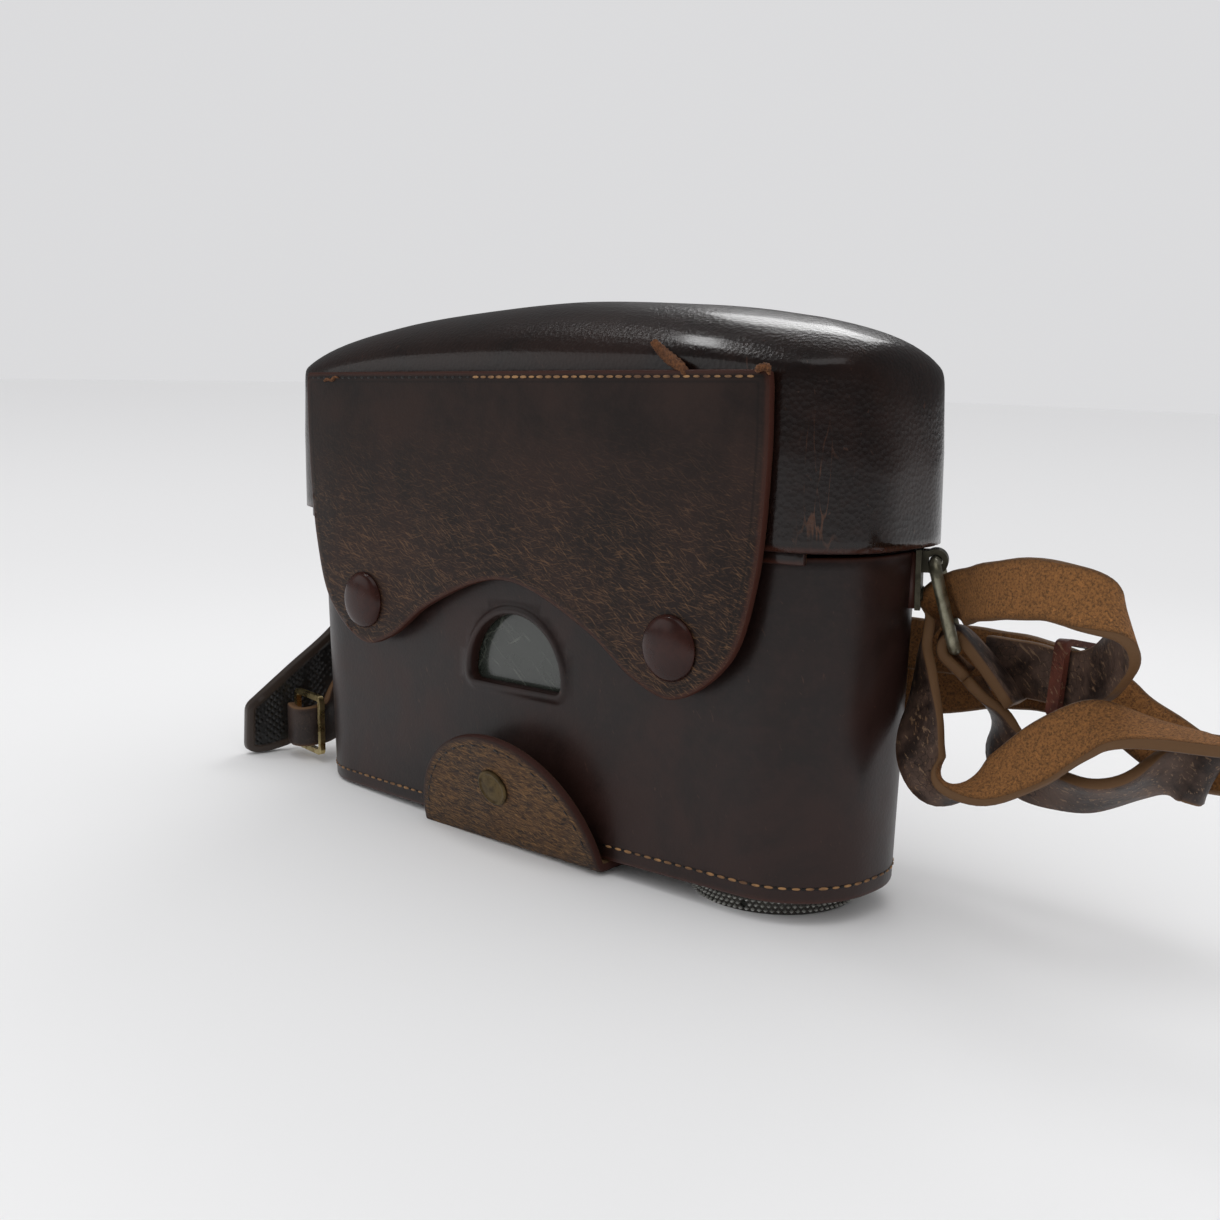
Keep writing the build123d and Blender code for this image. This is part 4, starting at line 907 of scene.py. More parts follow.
def buildLid():
    outer, walls = lidRings(0)
    outer = softened(outer, walls - 7, 9, 0.5)
    inner, _ = lidRings(lid["thickness"])
    inner = softened(inner, walls - 7, 6, 0.4)
    n = outer.shape[1]
    points, faces, depth, edge = [], [], [], []

    def addGrid(grid, flip, level):
        start = sum(len(p) for p in points)
        points.append(grid.reshape(-1, 3))
        depth.append(np.full(grid.shape[0] * n, level))
        edge.append((grid[:, :, 2] - grid[:1, :, 2]).ravel() if level < 0.5 else np.full(grid.shape[0] * n, 9.0))
        for i in range(len(grid) - 1):
            for k in range(n):
                a, b = start + i * n + k, start + i * n + (k + 1) % n
                c, d = b + n, a + n
                faces.append((d, c, b, a) if flip else (a, b, c, d))
        last = start + (len(grid) - 1) * n
        half = n // 2
        for k in range(half):
            a, b = last + k, last + (k + 1) % n
            c, d = last + (n - k - 1) % n, last + (n - k) % n
            ring = [p for i, p in enumerate((a, b, c, d)) if p not in (a, b, c, d)[:i]]
            if len(ring) > 2:
                faces.append(tuple(reversed(ring)) if flip else tuple(ring))
        return start

    first = addGrid(outer, False, 0.0)
    second = addGrid(inner, True, 1.0)
    rim = []
    for share, height in lid["rim"]:
        loop = outer[0] * (1 - share) + inner[0] * share
        loop[:, 2] = outer[0][:, 2] + height
        rim.append(loop)
    start = sum(len(p) for p in points)
    points.append(np.vstack(rim))
    depth.append(np.full(4 * n, 0.5))
    edge.append(np.zeros(4 * n))
    layers = [first] + [start + k * n for k in range(4)] + [second]
    for a, b in zip(layers, layers[1:]):
        for k in range(n):
            m = (k + 1) % n
            faces.append((a + m, a + k, b + k, b + m))
    points, depth, edge = np.vstack(points), np.concatenate(depth), np.concatenate(edge)

    # the tongue
    front = planOutline(lid["halfWidth"] - 1, lid["halfDepth"] - 1, lid["endRadius"] - 1, lid["bow"])
    front = front[(front[:, 1] < 0) & (np.abs(front[:, 0]) <= lid["tongueHalf"])]
    front = front[np.argsort(front[:, 0])]
    base, m = len(points), len(front)
    strips = [np.column_stack([front + (0, back), np.full(m, height)]) for back, height, _, _ in lid["tongue"]]
    points = np.vstack([points] + strips)
    depth = np.concatenate([depth, np.repeat([line[2] for line in lid["tongue"]], m)])
    edge = np.concatenate([edge, np.repeat([line[3] for line in lid["tongue"]], m)])
    for j in range(6):
        for k in range(m - 1):
            a, b = base + j * m + k, base + ((j + 1) % 6) * m + k
            faces.append((a, a + 1, b + 1, b))
    for k in (0, m - 1):
        cap = [base + j * m + k for j in range(6)]
        faces.append(tuple(cap) if k == 0 else tuple(reversed(cap)))
    obj = makeObject("lidLeather", points, faces)
    setAttribute(obj, "depth", depth)
    setAttribute(obj, "edge", edge)
    setAttribute(obj, "height", points[:, 2])
    middle, width, top = lid["scuff"]
    near = np.exp(-(((points[:, 0] - middle) / width) ** 2)) * (points[:, 1] < -4)
    setAttribute(obj, "scuff", near * np.clip((top - points[:, 2]) / 10, 0, 1))
    faceOutward(obj, 0.004)
    return place(obj, materials["lid"], "lid", "leather_body", "lid_shell")


lidLeather = buildLid()
print("lid:", len(lidLeather.data.polygons))


# The front flap, one piece with the strip that is sewn to the lid.
flap = {
    "inner": -22.0,
    "thickness": 2.0,
    # the right side down to its lobe, and the arch over the window
    "side": [(65.5, 92.6), (65.3, 80.0), (62.9, 58.0), (57.7, 44.0), (45.5, 35.8)],
    "arch": [(36.1, 38.1), (23.0, 46.4), (0.0, 53.8)],
    "top": [(-65.2, 95.1), (-64.6, 95.6), (64.6, 95.6), (65.2, 95.1)],
    # the row of holes under the lid's edge, and the part of it that still has thread
    "row": 94.4,
    "rowHalf": 63.5,
    "pitch": 2.3,
    "threaded": (-8, 62),
}


def flapOutline():
    right = flap["side"] + flap["arch"]
    return np.vstack([smoothLine(right + [(-x, z) for x, z in right[-2::-1]], 10), flap["top"]])


# The sides and the lobes lie a little nearer the body, and the middle bulges forward slightly.
def onFlap(u, v, depth):
    sag = 0.75 * np.clip((np.abs(u) - 50) / 15, 0, 1) ** 2
    lobes = 0.35 * np.clip((48 - v) / 12, 0, 1) ** 2 * np.clip((np.abs(u) - 52) / 8, 0, 1)
    puff = 0.12 * np.sin(u * 0.11 + 1.3) * np.clip((80 - v) / 20, 0, 1) * np.clip((30 - np.abs(u)) / 10, 0, 1)
    y = flap["inner"] - flap["thickness"] + depth + sag + lobes + np.minimum(puff, 0.0)
    return np.column_stack([u, y, v])


flapCut = {"step": 2.0, "edgeStep": 0.9, "thickness": flap["thickness"], "soft": 0.45, "guides": (1.6, 2.1, 2.6)}
flapLoop = anticlockwise(flapOutline())
flapLeather = leatherSheet("flapLeather", flapLoop, [], onFlap, flapCut)
flapBend = ("lid", "flap", (0, -0.023, 0.0938), (0, -0.023, 0.0916))
place(flapLeather, materials["flap"], flapBend, "leather_body", "flap_seam", "flap_panel")
print("flap:", len(flapLeather.data.polygons))


# The front tab, one piece with the part under the base.
tab = {
    "halfWidth": 26.0,
    "height": 25.5,
    "tilt": math.radians(16),
    "foot": (-20.5, -2.0),
    "thickness": 1.95,
    "capHeight": 14.4,
    "pitch": 3.4,
}
tabOut = np.array([-math.cos(tab["tilt"]), -math.sin(tab["tilt"])])
tabUp = np.array([-math.sin(tab["tilt"]), math.cos(tab["tilt"])])


def tabPath():
    foot = tab["foot"] + tabOut
    flat = [np.array([y, -1.05]) for y in (-6.6, -9, -11.5, -14, -16.5, -18.3)]
    bend = [np.array([-19.9, -1.2]), np.array([-21.2, -1.25]), foot + tabUp * 1.6]
    rise = [foot + tabUp * h for h in (3, 5, 8, 11, 14, 17, 20, 23, 25.5)]
    curve = smoothLine(flat + bend + rise, 6)
    return curve, runLengths(curve)


tabCurve, tabLengths = tabPath()
tabFoot = tabLengths[-1] - tab["height"]


# The tab follows its side curve and warps slightly towards its top.
def onTab(u, v, depth):
    step = 0.6
    along = unit(placesAt(v + step, tabLengths, tabCurve) - placesAt(v - step, tabLengths, tabCurve))
    outside = np.stack([-along[:, 1], along[:, 0]], 1)
    side = placesAt(v, tabLengths, tabCurve) + outside * (tab["thickness"] / 2 - depth)[:, None]
    side[:, 0] -= 0.175 * np.clip((v - tabFoot - 8) / 16, 0, 1) * np.cos(u * 0.09 + 0.6)
    return np.column_stack([u, side])


def tabOutline():
    half, foot = tab["halfWidth"], tabFoot
    rise = tab["height"] - 1.6
    radius = (half * half + rise * rise) / (2 * rise)
    angle = math.asin(min(half / radius, 1))
    top = foot + tab["height"]
    arc = [(radius * math.sin(a), top - radius + radius * math.cos(a)) for a in np.linspace(angle, -angle, 60)]
    corner = [(half - 3, 0.1), (half - 0.9, 1.0), (half, 3.1)]
    left = [(-x, y) for x, y in corner]
    return np.array(left[:1] + corner + arc + left[:0:-1])


tabCut = {"step": 1.6, "edgeStep": 0.9, "thickness": tab["thickness"], "soft": 0.4, "guides": (1.5, 1.9, 2.3)}
tabLeather = leatherSheet("tabLeather", tabOutline(), [], onTab, tabCut)
tabBend = ("case", "tab", (0, -0.0187, -0.00105), (0, -0.0218, -0.00105))
place(tabLeather, materials["tab"], tabBend, "leather_tab", "tab_base", "tab_leather")
print("tab:", len(tabLeather.data.polygons))


# The back hinge.
hinge = {
    "outline": [(-57.9, 49.6), (-56.9, 48.6), (56.9, 48.6), (57.9, 49.6), (57.9, 66.4), (-57.9, 66.4)],
    "back": 21.0,
    "row": 50.6,
    "rowHalf": 55.8,
    "pitch": 3.3,
}


def onHinge(u, v, depth):
    rise = np.interp(v, [62, 64], [0, 0.12])
    return np.column_stack([u, hinge["back"] - rise - depth, v])


hingeCut = {"step": 2.6, "edgeStep": 1.3, "thickness": 1.88, "soft": 0.4, "guides": (1.6, 2.4)}
hingeLeather = leatherSheet("hingeLeather", hinge["outline"], [], onHinge, hingeCut)
hingeBend = ("case", "lid", (0, 0.02, 0.0626), (0, 0.02, 0.0648))
place(hingeLeather, materials["hinge"], hingeBend, "leather_body", "hinge_strip")


# The straps.
# Each row is a point of the strap's middle line with the direction of its width.
ringEndRoute = [
    (94, 14.7, 36.6, 0.16, -0.98, 0.12), (90.6, 14.3, 40.8, 0.22, -0.97, 0.1), (83.52, 14.05, 47.87, 0.42, -0.9, 0),
    (82.1, 13.3, 48.45, 0.47, -0.88, 0), (80.68, 12.55, 47.87, 0.47, -0.88, 0),
    (79.93, 12.15, 46.38, 0.47, -0.88, 0), (80.19, 12.28, 44.7, 0.47, -0.88, 0), (81, 12.71, 43.78, 0.47, -0.88, 0),
    (84.6, 14, 40.6, 0.36, -0.92, 0.06),
]
lowerRoute = [
    (85.2, 14.2, 39.8, 0.36, -0.92, 0.06), (87.9, 14.5, 36.7, 0.36, -0.9, 0.14),
    (91.4, 14.6, 33.4, 0.6, -0.74, 0.28), (92.9, 13, 28.5, 0.8, -0.19, 0.57), (96.7, 10.5, 25.9, 0.74, -0.27, 0.61),
    (103.2, 7.5, 24.7, 0.65, -0.52, 0.55), (110, 6, 24.7, 0.59, -0.58, 0.56), (114.9, 6, 25.4, 0.54, -0.63, 0.55),
    (119.4, 7.5, 27.3, 0.56, -0.54, 0.63), (122.9, 10, 30, 0.56, -0.2, 0.77), (125.9, 11.6, 30.4, 0.27, 0.42, 0.87),
    (128, 12.4, 29.8, 0.35, 0.49, 0.8), (129.7, 14.2, 29.6, 0.35, 0.49, 0.8),
    (127.65, 15.9, 30.46, 0.35, 0.49, 0.8), (124.58, 16.9, 31.28, 0.34, 0.47, 0.81),
    (118.75, 17.8, 33.69, 0.29, 0.44, 0.85), (112.94, 18.8, 36.41, 0.26, 0.41, 0.87),
    (110.2, 18.1, 39.1, 0.2, 0.36, 0.91), (107.0, 16.6, 41.6, 0.06, 0.24, 0.97), (102.0, 18.4, 42.0, 0, 0.2, 0.98),
    (94.1, 22.3, 42.5, -0.07, 0.13, 0.99), (82.3, 25.4, 42.8, -0.1, 0.1, 0.99), (70.9, 26.0, 42.7, -0.1, 0.1, 0.99),
    (40, 24.2, 43.4, 0, 0, 1), (0, 23.6, 43.8, 0, 0, 1), (-40, 24.2, 43.2, 0, 0, 1),
    (-58, 24.2, 39.5, 0.45, 0.1, 0.88), (-70, 23.6, 33.5, 0.75, 0.45, 0.45), (-75.2, 19.8, 28.4, 0.5, 0.85, 0.15),
    (-77.4, 14.6, 32, 0.47, 0.88, 0), (-79.89, 12.13, 45.95, 0.47, 0.88, 0), (-80.54, 12.47, 47.72, 0.47, 0.88, 0),
    (-82.1, 13.3, 48.45, 0.47, 0.88, 0), (-83.66, 14.13, 47.72, 0.47, 0.88, 0),
    (-84.31, 14.47, 45.95, 0.47, 0.88, 0), (-85.2, 13.8, 40, 0.47, 0.88, 0), (-84.2, 10.5, 30, 0.47, 0.86, -0.1),
    (-84.3, 5, 20, 0.5, 0.62, -0.5), (-83.6, -1.5, 12.5, 0.3, 0.3, -0.9), (-81.3, -7, 9.4, 0, 0, -1),
    (-80.7, -11.5, 9.0, 0, 0, -1), (-82.6, -14.6, 8.6, 0, 0, -1), (-86.4, -14.8, 8.6, 0, 0, -1),
    (-89.4, -13.0, 8.9, 0, 0, -1),
]
upperRoute = [
    (84.3, 22.0, 41.9, -0.08, 0.08, 0.99), (93, 19.4, 42.3, -0.11, 0.06, 0.99), (104, 14.8, 42, 0.05, 0.2, 0.98),
    (110.6, 11, 44.2, -0.05, 0.1, 0.99), (115.4, 6.6, 47.8, -0.5, 0.52, 0.69),
    (119.6, 1.6, 52.8, -0.64, 0.68, 0.36), (120.2, -2.0, 56.4, -0.54, 0.58, 0.61),
    (117.2, -4.6, 58.8, -0.3, 0.32, 0.9), (112.5, -5.2, 60, -0.12, 0.12, 0.98), (106.7, -4, 60.5, -0.1, 0.1, 0.99),
    (96.2, -1, 58.7, -0.1, 0.1, 0.99), (86.6, 7.8, 56.0, 0.24, -0.26, 0.94), (80.0, 13.1, 53.6, 0.3, -0.54, 0.78),
    (77.9, 13.1, 51.2, 0.4, -0.76, 0.5), (77.3, 11.6, 48.2, 0.5, -0.84, 0.2), (77.2, 10.4, 44.0, 0.55, -0.82, 0.1),
    (79.4, 7.2, 38.4, 0.74, -0.66, 0.1), (81.6, 2.6, 32, 0.95, -0.22, 0.2), (83.2, 0.2, 27.6, 0.97, -0.1, 0.22),
    (86.6, -1.4, 23.9, 0.87, -0.27, 0.41), (90.3, -2, 23, 0.76, -0.57, 0.32), (93.7, -2, 24.1, 0.67, -0.73, 0.15),
    (99, -2, 26.4, 0.71, -0.56, -0.42), (105, -1, 30.9, 0.62, -0.32, -0.72), (110.2, 0, 35.3, 0.64, -0.3, -0.7),
    (114.6, 1, 38, 0.59, -0.48, -0.65), (119.2, 2, 38.3, 0.55, -0.74, -0.39), (124.1, 4, 37.6, 0.65, -0.75, -0.15),
    (128.7, 6, 37, 0.68, -0.73, -0.08), (133, 9, 36.2, 0.68, -0.73, 0), (138.4, 12.2, 36.4, 0.5, -0.2, 0.7),
    (140.2, 17.2, 33.8, 0.3, 0.2, 0.9), (136, 21.5, 31, 0.34, 0.47, 0.81), (130, 22, 29.8, 0.34, 0.47, 0.81),
    (122.81, 20.9, 30.12, 0.34, 0.47, 0.81), (116.82, 22.2, 32.67, 0.29, 0.44, 0.85),
    (110.97, 23.1, 35.22, 0.26, 0.41, 0.87), (104.92, 23.7, 37.57, 0.14, 0.32, 0.94),
    (98.29, 24.1, 38.98, 0, 0.19, 0.98), (88.21, 26.8, 38.02, -0.09, 0.12, 0.99),
    (78.02, 28.6, 35.87, -0.1, 0.1, 0.99), (69.99, 28.2, 33.56, -0.1, 0.1, 0.99), (40, 26.0, 32, 0, 0, 1),
    (0, 24.4, 32, 0, 0, 1), (-40, 26.6, 32.4, 0, 0, 1), (-50, 27.6, 34, -0.1, 0, 1),
    (-60, 28.6, 37.0, -0.3, 0, 0.95), (-66, 26.4, 40.6, -0.35, 0, 0.93), (-71.5, 26.4, 42.8, -0.2, 0, 0.98),
    (-77.5, 29.2, 43.5, 0, 0, 1), (-83, 30.4, 43.5, 0, 0, 1),
]
strap = {"width": 10.0, "thickness": 2.0, "round": 0.35}


def splineThrough(name, points):
    curve = bpy.data.curves.new(name, "CURVE")
    curve.dimensions = "3D"
    curve.resolution_u = 5
    spline = curve.splines.new("NURBS")
    spline.points.add(len(points) - 1)
    for point, at in zip(spline.points, points):
        point.co = (*(at * mm), 1)
    spline.order_u = 3
    spline.use_endpoint_u = True
    holder = linked(name, curve)
    line = evaluatedMesh(holder)
    places = np.array([v.co[:] for v in line.vertices]) / mm
    bpy.data.objects.remove(holder)
    bpy.data.meshes.remove(line)
    return places


def strapMesh(name, route):
    route = np.array(route, float)
    centre, across = route[:, :3], route[:, 3:]
    ahead = np.vstack([np.diff(centre, axis=0), centre[-1:] - centre[-2:-1]])
    behind = np.vstack([centre[1:2] - centre[:1], np.diff(centre, axis=0)])
    along = unit(unit(ahead) + unit(behind))
    across = unit(across - along * (along * across).sum(1)[:, None])
    half, thick, r = strap["width"] / 2, strap["thickness"] / 2, strap["round"]
    middle = splineThrough(name + "Line", centre)
    left = splineThrough(name + "Left", centre - across * half)
    right = splineThrough(name + "Right", centre + across * half)
    forward = headings(middle)
    side = unit(right - left)
    side = unit(side - forward * (forward * side).sum(1)[:, None])
    up = np.cross(forward, side)
    # (place across, place through the thickness) of the strap's section, round once
    upper = [(half - r, thick), (half * 0.55, thick), (0, thick), (-half * 0.55, thick), (-half + r, thick)]
    lower = [(-x, -z) for x, z in upper]
    section = [(half, thick - r)] + upper + [(-half, thick - r), (-half, -thick + r)] + lower + [(half, -thick + r)]
    lengths = runLengths(middle)
    wobble = 0.12 * np.sin(lengths * 0.21) + 0.08 * np.sin(lengths * 0.57 + 1)
    points = []
    for x, z in section:
        trim = np.where(abs(x) > half - 0.5, wobble * math.copysign(1, x), 0)
        points.append(middle + side * (x + trim)[:, None] + up * z)
    points = np.stack(points, 1)
    count = len(points)
    obj = makeObject(name, points.reshape(-1, 3), tubeFaces(count, len(section), "capped"))
    edge = np.array([half - abs(x) for x, z in section])
    depth = np.array([0.5 if abs(x) > half - 0.1 else (0.0 if z > 0 else 1.0) for x, z in section])
    setAttribute(obj, "edge", np.tile(edge, count))
    setAttribute(obj, "depth", np.tile(depth, count))
    return faceOutward(obj, 0), middle * mm, float(lengths[-1]) * mm


strapRingEnd, _, _ = strapMesh("strapRingEnd", ringEndRoute)
place(strapRingEnd, materials["strap"], "ring_right_body", "strap_leather", "strap_ring_end")
for name, replaced, route, order, farEnd in (
    ("strapLower", "strap_lower", lowerRoute, 1, "object"),
    ("strapUpper", "strap_upper", upperRoute, -1, "bare"),
):
    piece, path, length = strapMesh(name, route)
    place(piece, materials["strap"], "case", "strap_leather", replaced)
    path = [tuple(p) for p in path[::order]]
    print(name + ":", round(length, 3))


# The shoulder pad.
pad = {
    # plan of its outer face, outline seen from the side, and the length over which the corners are rounded
    "plan": [(-95.1, -22.7), (-92.5, -11.0), (-90.0, 0.2), (-89.6, 11.0), (-88.2, 22.0), (-85.6, 33.0)],
    "side": [(-22.1, 13.3), (-22.6, 2.1), (-20.2, 0.9), (-16.6, 0.9), (-10.8, 2.0), (23.6, 28.4)]
    + [(29.5, 34.5), (31.5, 40.0), (30.5, 49.4), (25.5, 49.5), (0.1, 30.3), (-8.3, 24.1)],
    "corner": 1.6,
}
padCurve = smoothLine(pad["plan"], 12)


def onPad(u, v, depth):
    x = np.interp(u, padCurve[:, 1], padCurve[:, 0])
    slope = np.gradient(padCurve[:, 0], padCurve[:, 1])
    lean = np.interp(u, padCurve[:, 1], slope)
    turn = 1 / np.sqrt(1 + lean * lean)
    return np.column_stack([x - depth * turn, u + depth * lean * turn, v])


# No corner takes up more than 0.45 of a side.
def padOutline():
    corners, loop = np.array(pad["side"]), []
    for before, corner, after in zip(np.roll(corners, 1, 0), corners, np.roll(corners, -1, 0)):
        a, b = (corner + (p - corner) * min(pad["corner"] / np.linalg.norm(p - corner), 0.45) for p in (before, after))
        for t in np.linspace(0, 1, 5):
            loop.append((1 - t) ** 2 * a + 2 * t * (1 - t) * corner + t * t * b)
    return np.array(loop)


padCut = {"step": 1.7, "edgeStep": 1.0, "thickness": 2.9, "soft": 0.6, "guides": (1.6, 2.4)}
shoulderPad = leatherSheet("shoulderPad", padOutline(), [], onPad, padCut)
place(shoulderPad, materials["rubber"], "case", "pad_rubber", "shoulder_pad")
print("pad:", len(shoulderPad.data.polygons))


# Caps of the snaps and of the tab, turned about their rivets.
def turned(name, profile, origin, axis, around=64):
    axis = Vector(axis).normalized()
    first = axis.orthogonal().normalized()
    second = axis.cross(first)
    origin = Vector(origin)
    points = []
    for radius, height in profile:
        for k in range(around):
            a = 2 * math.pi * k / around
            points.append(origin + axis * height + (first * math.cos(a) + second * math.sin(a)) * radius)
    return faceOutward(makeObject(name, [tuple(p) for p in points], tubeFaces(len(profile), around)))


snapCap = {"x": 44.8, "z": 45.4, "front": -24.0}
dome = [(0.0001, -0.4), (1.1, -0.4), (1.1, 0.1), (5.9, 0.1), (6.2, 0.16), (6.25, 0.3), (6.22, 0.45)]
for k in range(1, 19):
    a = math.pi / 2 * k / 18
    dome.append((max(6.05 * math.cos(a), 0.0001), 0.5 + 1.68 * math.sin(a) ** 0.85))
for label, side in (("left", -1), ("right", 1)):
    cap = turned("snapCap" + label.title(), dome, (side * snapCap["x"], snapCap["front"], snapCap["z"]), (0, -1, 0))
    place(cap, materials["cap"], "flap", "cap_lacquer", "snap_cap_" + label)

disc = [(0.0001, -1.9), (1.15, -1.9), (1.15, 0.03), (3.8, 0.03), (3.98, 0.15), (4.0, 0.4), (3.85, 0.66), (3.6, 0.78)]
disc += [(3.35, 0.74), (3.15, 0.62), (2.9, 0.62), (2.2, 0.72), (1.2, 0.8), (0.5, 0.83), (0.0001, 0.83)]
capPlace = tab["foot"] + tabUp * tab["capHeight"] + tabOut * 2.0
tabCap = turned("tabCap", disc, (0, *capPlace), (0, *tabOut))
place(tabCap, materials["agedBrass"], "tab", "brass_parts", "tab_cap")


# Stitches.
def rowAlong(points, outward, pitch, skip=None, shift=0.5):
    lengths = runLengths(points)
    at = np.arange(pitch * shift, lengths[-1], pitch)
    places, out = placesAt(at, lengths, points), placesAt(at, lengths, outward)
    along = placesAt(at + 0.4, lengths, points) - placesAt(at - 0.4, lengths, points)
    keep = np.ones(len(at), bool) if skip is None else ~skip(places)
    return places[keep], along[keep], out[keep]


def shellRow(lift, shift=0.5):
    u, height = np.linspace(-shellHalf, shellHalf, 400), np.full(400, body["row"])
    at = onShell(u, height, np.full(400, -lift))

    def hiddenByTab(p):
        return (np.abs(p[:, 0]) < 25) & (p[:, 1] < 0)

    return rowAlong(at, at - onShell(u, height, np.zeros(400)), body["pitch"], hiddenByTab, shift)


# The row keeps its threaded part or the holes left beside it.
def flapRow(lift, threaded):
    half, (low, high) = flap["rowHalf"], flap["threaded"]
    at = onFlap(np.linspace(-half, half, 300), np.full(300, flap["row"]), np.full(300, -lift))

    def skipped(p):
        return ((p[:, 0] < low) | (p[:, 0] > high)) == threaded

    return rowAlong(at, np.tile([0.0, -1.0, 0.0], (300, 1)), flap["pitch"], skipped)


def hingeRow():
    x = np.linspace(-hinge["rowHalf"], hinge["rowHalf"], 260)
    at = np.column_stack([x, np.full(260, hinge["back"] + 0.05), np.full(260, hinge["row"])])
    return rowAlong(at, np.tile([0.0, 1.0, 0.0], (260, 1)), hinge["pitch"])


def tabRow():
    loop = inset(resample(anticlockwise(tabOutline()), 0.8), 1.9)
    loop = loop[loop[:, 1] > tabFoot + 4.5]
    loop = loop[np.argsort(np.arctan2(loop[:, 1] - tabFoot, loop[:, 0]))]
    at = onTab(loop[:, 0], loop[:, 1], np.full(len(loop), -0.02))
    base = onTab(loop[:, 0], loop[:, 1], np.full(len(loop), 1.0))
    return rowAlong(at, at - base, tab["pitch"])


thread = {"Length": 1.75, "Width": 0.54, "Height": 0.38, "Jitter": 0.16, "Seed": 11, "Material": materials["thread"]}
# beads standing for the empty stitch holes, in painted shade
hole = {"Length": 1.3, "Width": 0.5, "Height": 0.16, "Jitter": 0.16, "Seed": 5, "Material": materials["hole"]}
bodyHole = {**hole, "Length": 0.95, "Width": 0.66, "Height": 0.14, "Jitter": 0.1, "Seed": 8}
stitchRows = [
    ("bodyStitches", shellRow(0.04), thread, "case", "leather_body"),
    ("bodyHoles", shellRow(0.03, 1.0), bodyHole, "case", "leather_body"),
    ("flapStitches", flapRow(0.06, True), thread, "lid", "leather_body"),
    ("hingeStitches", hingeRow(), thread, "case", "leather_body"),
    ("tabHoles", tabRow(), hole, "tab", "leather_tab"),
    ("flapHoles", flapRow(0.01, False), {**hole, "Length": 1.1, "Width": 0.6}, "lid", "leather_body"),
]
for name, row, look, rider, slotName in stitchRows:
    place(scatter(name, "stitch", [row], look), look["Material"], rider, slotName)
print("stitches done")


# The torn strip, the loose knot and the tuft along the seam of the flap.
def softTube(name, route, radii, flatness, turns=10):
    line = smoothLine(route, 8)
    size = np.interp(np.linspace(0, len(route) - 1, len(line)), range(len(route)), radii)
    ahead = headings(line)
    side = unit(np.cross(ahead, np.array([0.2, 0.3, 1.0])))
    up = np.cross(side, ahead)
    points = []
    for k in range(turns):
        a = 2 * math.pi * k / turns
        reach = size * (1 + 0.2 * np.sin(np.arange(len(line)) * 1.7 + k * 2.1))
        out = side * math.cos(a) + up * math.sin(a) * flatness
        points.append(line + out * reach[:, None])
    points = np.stack(points, 1).reshape(-1, 3)
    return faceOutward(makeObject(name, points, tubeFaces(len(line), turns, "capped")))


# name, route, radii, flatness and points round
frays = [
    (
        "tornStrip",
        [(47.8, -23.4, 94.6), (45.5, -22.9, 96.2), (42.6, -22.2, 97.6), (40.2, -21.7, 99.0), (38.4, -21.9, 100.6)],
        ([0.8, 1.15, 1.3, 1.15, 0.85], 0.8, 18),
    ),
    (
        "looseKnot",
        [(63.2, -23.6, 95.2), (64.2, -24.1, 95.8), (65.1, -23.6, 96.0), (64.8, -22.8, 95.4), (65.5, -23.2, 94.8)],
        ([0.4, 0.75, 0.8, 0.6, 0.3], 0.8),
    ),
    (
        "frayedTuft",
        [(-57.8, -23.9, 93.6), (-56.4, -24.1, 94.0), (-54.8, -24.0, 93.8), (-53.4, -24.2, 94.5), (-52.4, -23.9, 94.3)],
        ([0.3, 0.55, 0.5, 0.45, 0.2], 0.6),
    ),
]
for name, route, form in frays:
    place(softTube(name, route, *form), materials["fray"], "lid", "leather_body")


# The knurled rim of the knob.
knob = {
    "x": 52.3,
    "radius": 16.0,
    "low": -4.2,
    "high": -0.7,
    "margin": 0.45,
    "around": 84,
    "rows": 3,
    # its angle and half the angle it keeps free, in degrees
    "pinHole": (-75, 3.4),
}


def knurlRows():
    places, along, out = [], [], []
    pitch = (knob["high"] - knob["low"] - 2 * knob["margin"]) / knob["rows"]
    pin, halfPin = knob["pinHole"]
    for row in range(knob["rows"]):
        for k in range(knob["around"]):
            a = 2 * math.pi * (k + 0.5 * (row % 2)) / knob["around"]
            radial = np.array([math.cos(a), math.sin(a), 0])
            if abs((math.degrees(a) - pin + 180) % 360 - 180) < halfPin and row == 1:
                continue
            z = knob["low"] + knob["margin"] + pitch * (row + 0.5)
            places.append(np.array([knob["x"], 0, z]) + radial * (knob["radius"] - 0.28))
            along.append(np.array([-math.sin(a), math.cos(a), 0]))
            out.append(radial)
    return [(np.array(places), np.array(along), np.array(out))]


knurlLook = {"Length": 1.3, "Width": 1.02, "Height": 0.8, "Jitter": 0.02, "Seed": 3, "Material": materials["knob"]}
knobKnurl = scatter("knobKnurl", "knurl", knurlRows(), knurlLook)
place(knobKnurl, materials["knob"], "screw", "knob_metal")


# The wire rings, and the leather packing behind their lugs.
ring = {
    "turn": math.radians(28),
    "lean": math.radians(15),
    "bar": (78.447, 11.359, 61.4),
    "wire": 1.12,
    "width": 13.6,
    "length": 16.0,
    "corner": 2.6,
    # half width of the packing, and its corners: distance out from the bar and height
    "seatHalf": 4.3,
    "seat": [(-4.9, 53.0), (-3.36, 53.0), (-3.36, 63.2), (-4.5, 63.2)],
}


def lugFrame(side):
    normal = Vector((side * math.cos(ring["turn"]), math.sin(ring["turn"]), 0))
    tangent = Vector((0, 0, 1)).cross(normal)
    bar = Vector((side * ring["bar"][0], ring["bar"][1], ring["bar"][2]))
    return bar, normal, tangent


